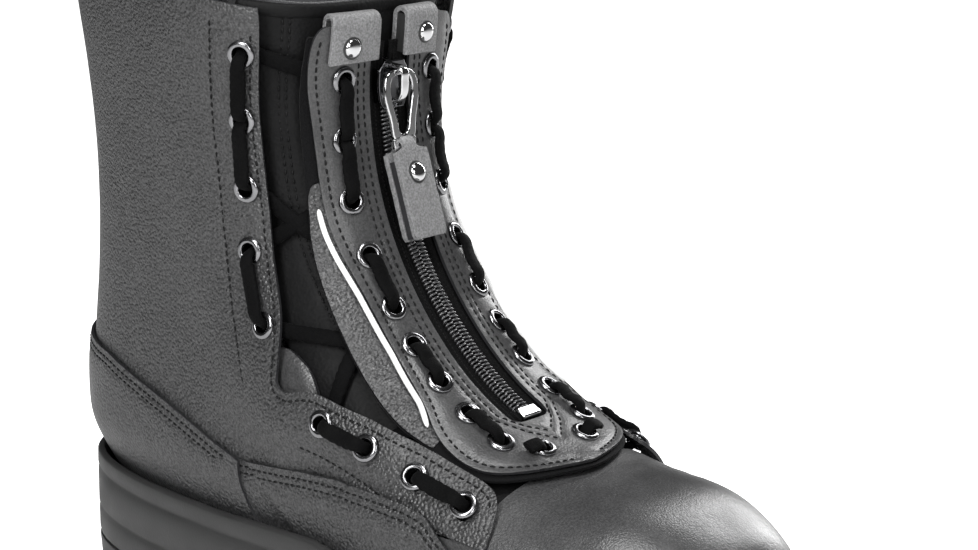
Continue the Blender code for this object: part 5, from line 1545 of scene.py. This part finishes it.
def make_lugs():
    """Tread blocks under the heel and the forefoot, cut to follow the sole's outline."""
    ring = inset_ring(sole_ring(), 1.3)
    outer = ring[ring[:, 0] < np.interp(ring[:, 1], [-150, 150], [6, 0])]
    inner = ring[ring[:, 0] >= np.interp(ring[:, 1], [-150, 150], [6, 0])]
    outer, inner = outer[np.argsort(outer[:, 1])], inner[np.argsort(inner[:, 1])]

    def side_x(which, y):
        return float(np.interp(y, which[:, 1], which[:, 0]))

    points, faces = [], []

    def block(corners):
        corners = np.array(corners, float)
        centre = corners.mean(0)
        start, n = len(points), len(corners)
        for grow, low in ((0.93, 0.0), (1.0, 0.7), (1.0, 3.9)):
            for x, y in centre + (corners - centre) * grow:
                points.append((x, y, float(along(GROUND, y)) + low))
        faces.extend(ring_faces(3, n, start))
        faces.append(tuple(range(start, start + n))[::-1])
        faces.append(tuple(range(start + 2 * n, start + 3 * n)))

    depth, gap, split = 9.5, 4.2, 0.52
    for first, last in ((-142, -18), (54, 136)):
        y = first
        while y + depth <= last:
            a, b = y, y + depth
            for which, sign in ((outer, -1), (inner, 1)):
                xa, xb = side_x(which, a), side_x(which, b)
                mid_a = (side_x(outer, a) + side_x(inner, a)) / 2
                mid_b = (side_x(outer, b) + side_x(inner, b)) / 2
                block([(xa, a), (xb, b), (mid_b + (xb - mid_b) * split, b + 1.5),
                       (mid_a + (xa - mid_a) * split, a + 1.5)])
                block([(mid_a + (xa - mid_a) * (split - 0.1), a + 2),
                       (mid_b + (xb - mid_b) * (split - 0.1), b + 2),
                       (mid_b + sign * 2.0, b + 3.2), (mid_a + sign * 2.0, a + 3.2)])
            y += depth + gap
    lugs = add("tread_lugs", points, faces, LOOKS["rubber"], angle=30)
    mend(lugs)


# ---------------------------------------------------------------- floor, lights and camera

def make_stage():
    mesh = bpy.data.meshes.new("floor")
    far = 30.0  # metres
    mesh.from_pydata([(-far, -far, 0), (far, -far, 0), (far, far, 0), (-far, far, 0)], [], [(0, 1, 2, 3)])
    floor = bpy.data.objects.new("floor", mesh)
    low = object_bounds()[0][2]
    floor.location.z = min(0.0, float(low)) - 0.0002
    bpy.context.scene.collection.objects.link(floor)
    pale = bpy.data.materials.new("pale_floor")
    pale.use_nodes = True
    shader = pale.node_tree.nodes["Principled BSDF"]
    shader.inputs["Base Color"].default_value = (0.9, 0.9, 0.9, 1)
    shader.inputs["Roughness"].default_value = 0.9
    shader.inputs["Specular IOR Level"].default_value = 0.1
    shader.inputs["Emission Color"].default_value = (1, 1, 1, 1)
    seen_only(pale.node_tree, shader.inputs["Emission Strength"], FLOOR_GLOW, FLOOR_BOUNCE)
    floor.data.materials.append(pale)
    world = bpy.data.worlds.new("studio")
    world.use_nodes = True
    world.node_tree.nodes["Background"].inputs["Color"].default_value = (1, 1, 1, 1)
    seen_only(world.node_tree, world.node_tree.nodes["Background"].inputs["Strength"], FLOOR_GLOW, SKY)
    bpy.context.scene.world = world


FLOOR_GLOW, FLOOR_BOUNCE, SKY = 1.2, 0.10, 0.04


def seen_only(tree, socket, seen, otherwise):
    """The backdrop is bright to the camera, and dimmer to what it lights."""
    path = tree.nodes.new("ShaderNodeLightPath")
    tree.links.new(spread(tree, path.outputs["Is Camera Ray"], (0, 1), (otherwise, seen)), socket)


def soft_light(name, place, target, size, power):
    lamp = bpy.data.lights.new(name, "AREA")
    lamp.shape = "RECTANGLE"
    lamp.size, lamp.size_y = size
    lamp.energy = power
    thing = bpy.data.objects.new(name, lamp)
    thing.location = place
    thing.rotation_euler = (Vector(target) - Vector(place)).to_track_quat("-Z", "Y").to_euler()
    bpy.context.scene.collection.objects.link(thing)


def make_lights():
    centre = (0, 0, 0.12)
    soft_light("key_left", (-1.25, -0.35, 0.95), centre, (0.45, 1.1), 16)
    soft_light("top", (-0.1, -0.45, 1.5), centre, (0.5, 0.6), 10)
    soft_light("front", (-0.75, -1.35, 0.7), centre, (0.22, 0.8), 4.5)
    soft_light("right_edge", (1.2, 0.1, 0.6), centre, (0.25, 1.1), 8)


VIEW_TURN, VIEW_DOWN, VIEW_FAR = 49.3, 13.3, 864.0
VIEW_TARGET = (41.0, 0.0, 123.6)


def make_camera():
    bpy.context.scene.view_settings.view_transform = "Standard"
    a, e = math.radians(VIEW_TURN), math.radians(VIEW_DOWN)
    ahead = Vector((math.sin(a) * math.cos(e), math.cos(a) * math.cos(e), -math.sin(e)))
    target = Vector(world(np.array(VIEW_TARGET)))
    data = bpy.data.cameras.new("photo_view")
    data.lens, data.sensor_width = 88.5, 36.0
    data.clip_end = 100
    camera = bpy.data.objects.new("photo_view", data)
    camera.location = target - ahead * VIEW_FAR * MM
    camera.rotation_euler = ahead.to_track_quat("-Z", "Y").to_euler()
    bpy.context.scene.collection.objects.link(camera)
    bpy.context.scene.camera = camera


# ---------------------------------------------------------------- all of it

def main():
    dress_carried_nodes()
    make_sole()
    make_lining()
    make_tongue()
    make_vamp()
    make_counter()
    make_back_stay()
    make_collar()
    make_backing()
    make_panel()
    make_bottom_stop()
    make_slider()
    make_link()
    make_tab()
    make_end_cap("lateral", (-27, -8), (13.5, -20))
    make_end_cap("medial", (5, 20), (11.5, 14))
    for name, side in (("lateral", -1), ("medial", 1)):
        make_quarter(name, side)
        make_foxing(name, side)
        make_notch_pad(name, side)
        make_piping(name, side)
        make_tape(name, side)
        make_coil(name, side)
        make_eyelets("facing_" + name, FACING_EYELETS, side)
        make_eyelets("insert_" + name, PANEL_EYELETS + [END_EYELET], side)
        make_lace(name, side)
    make_stage()
    make_lights()
    make_camera()


main()
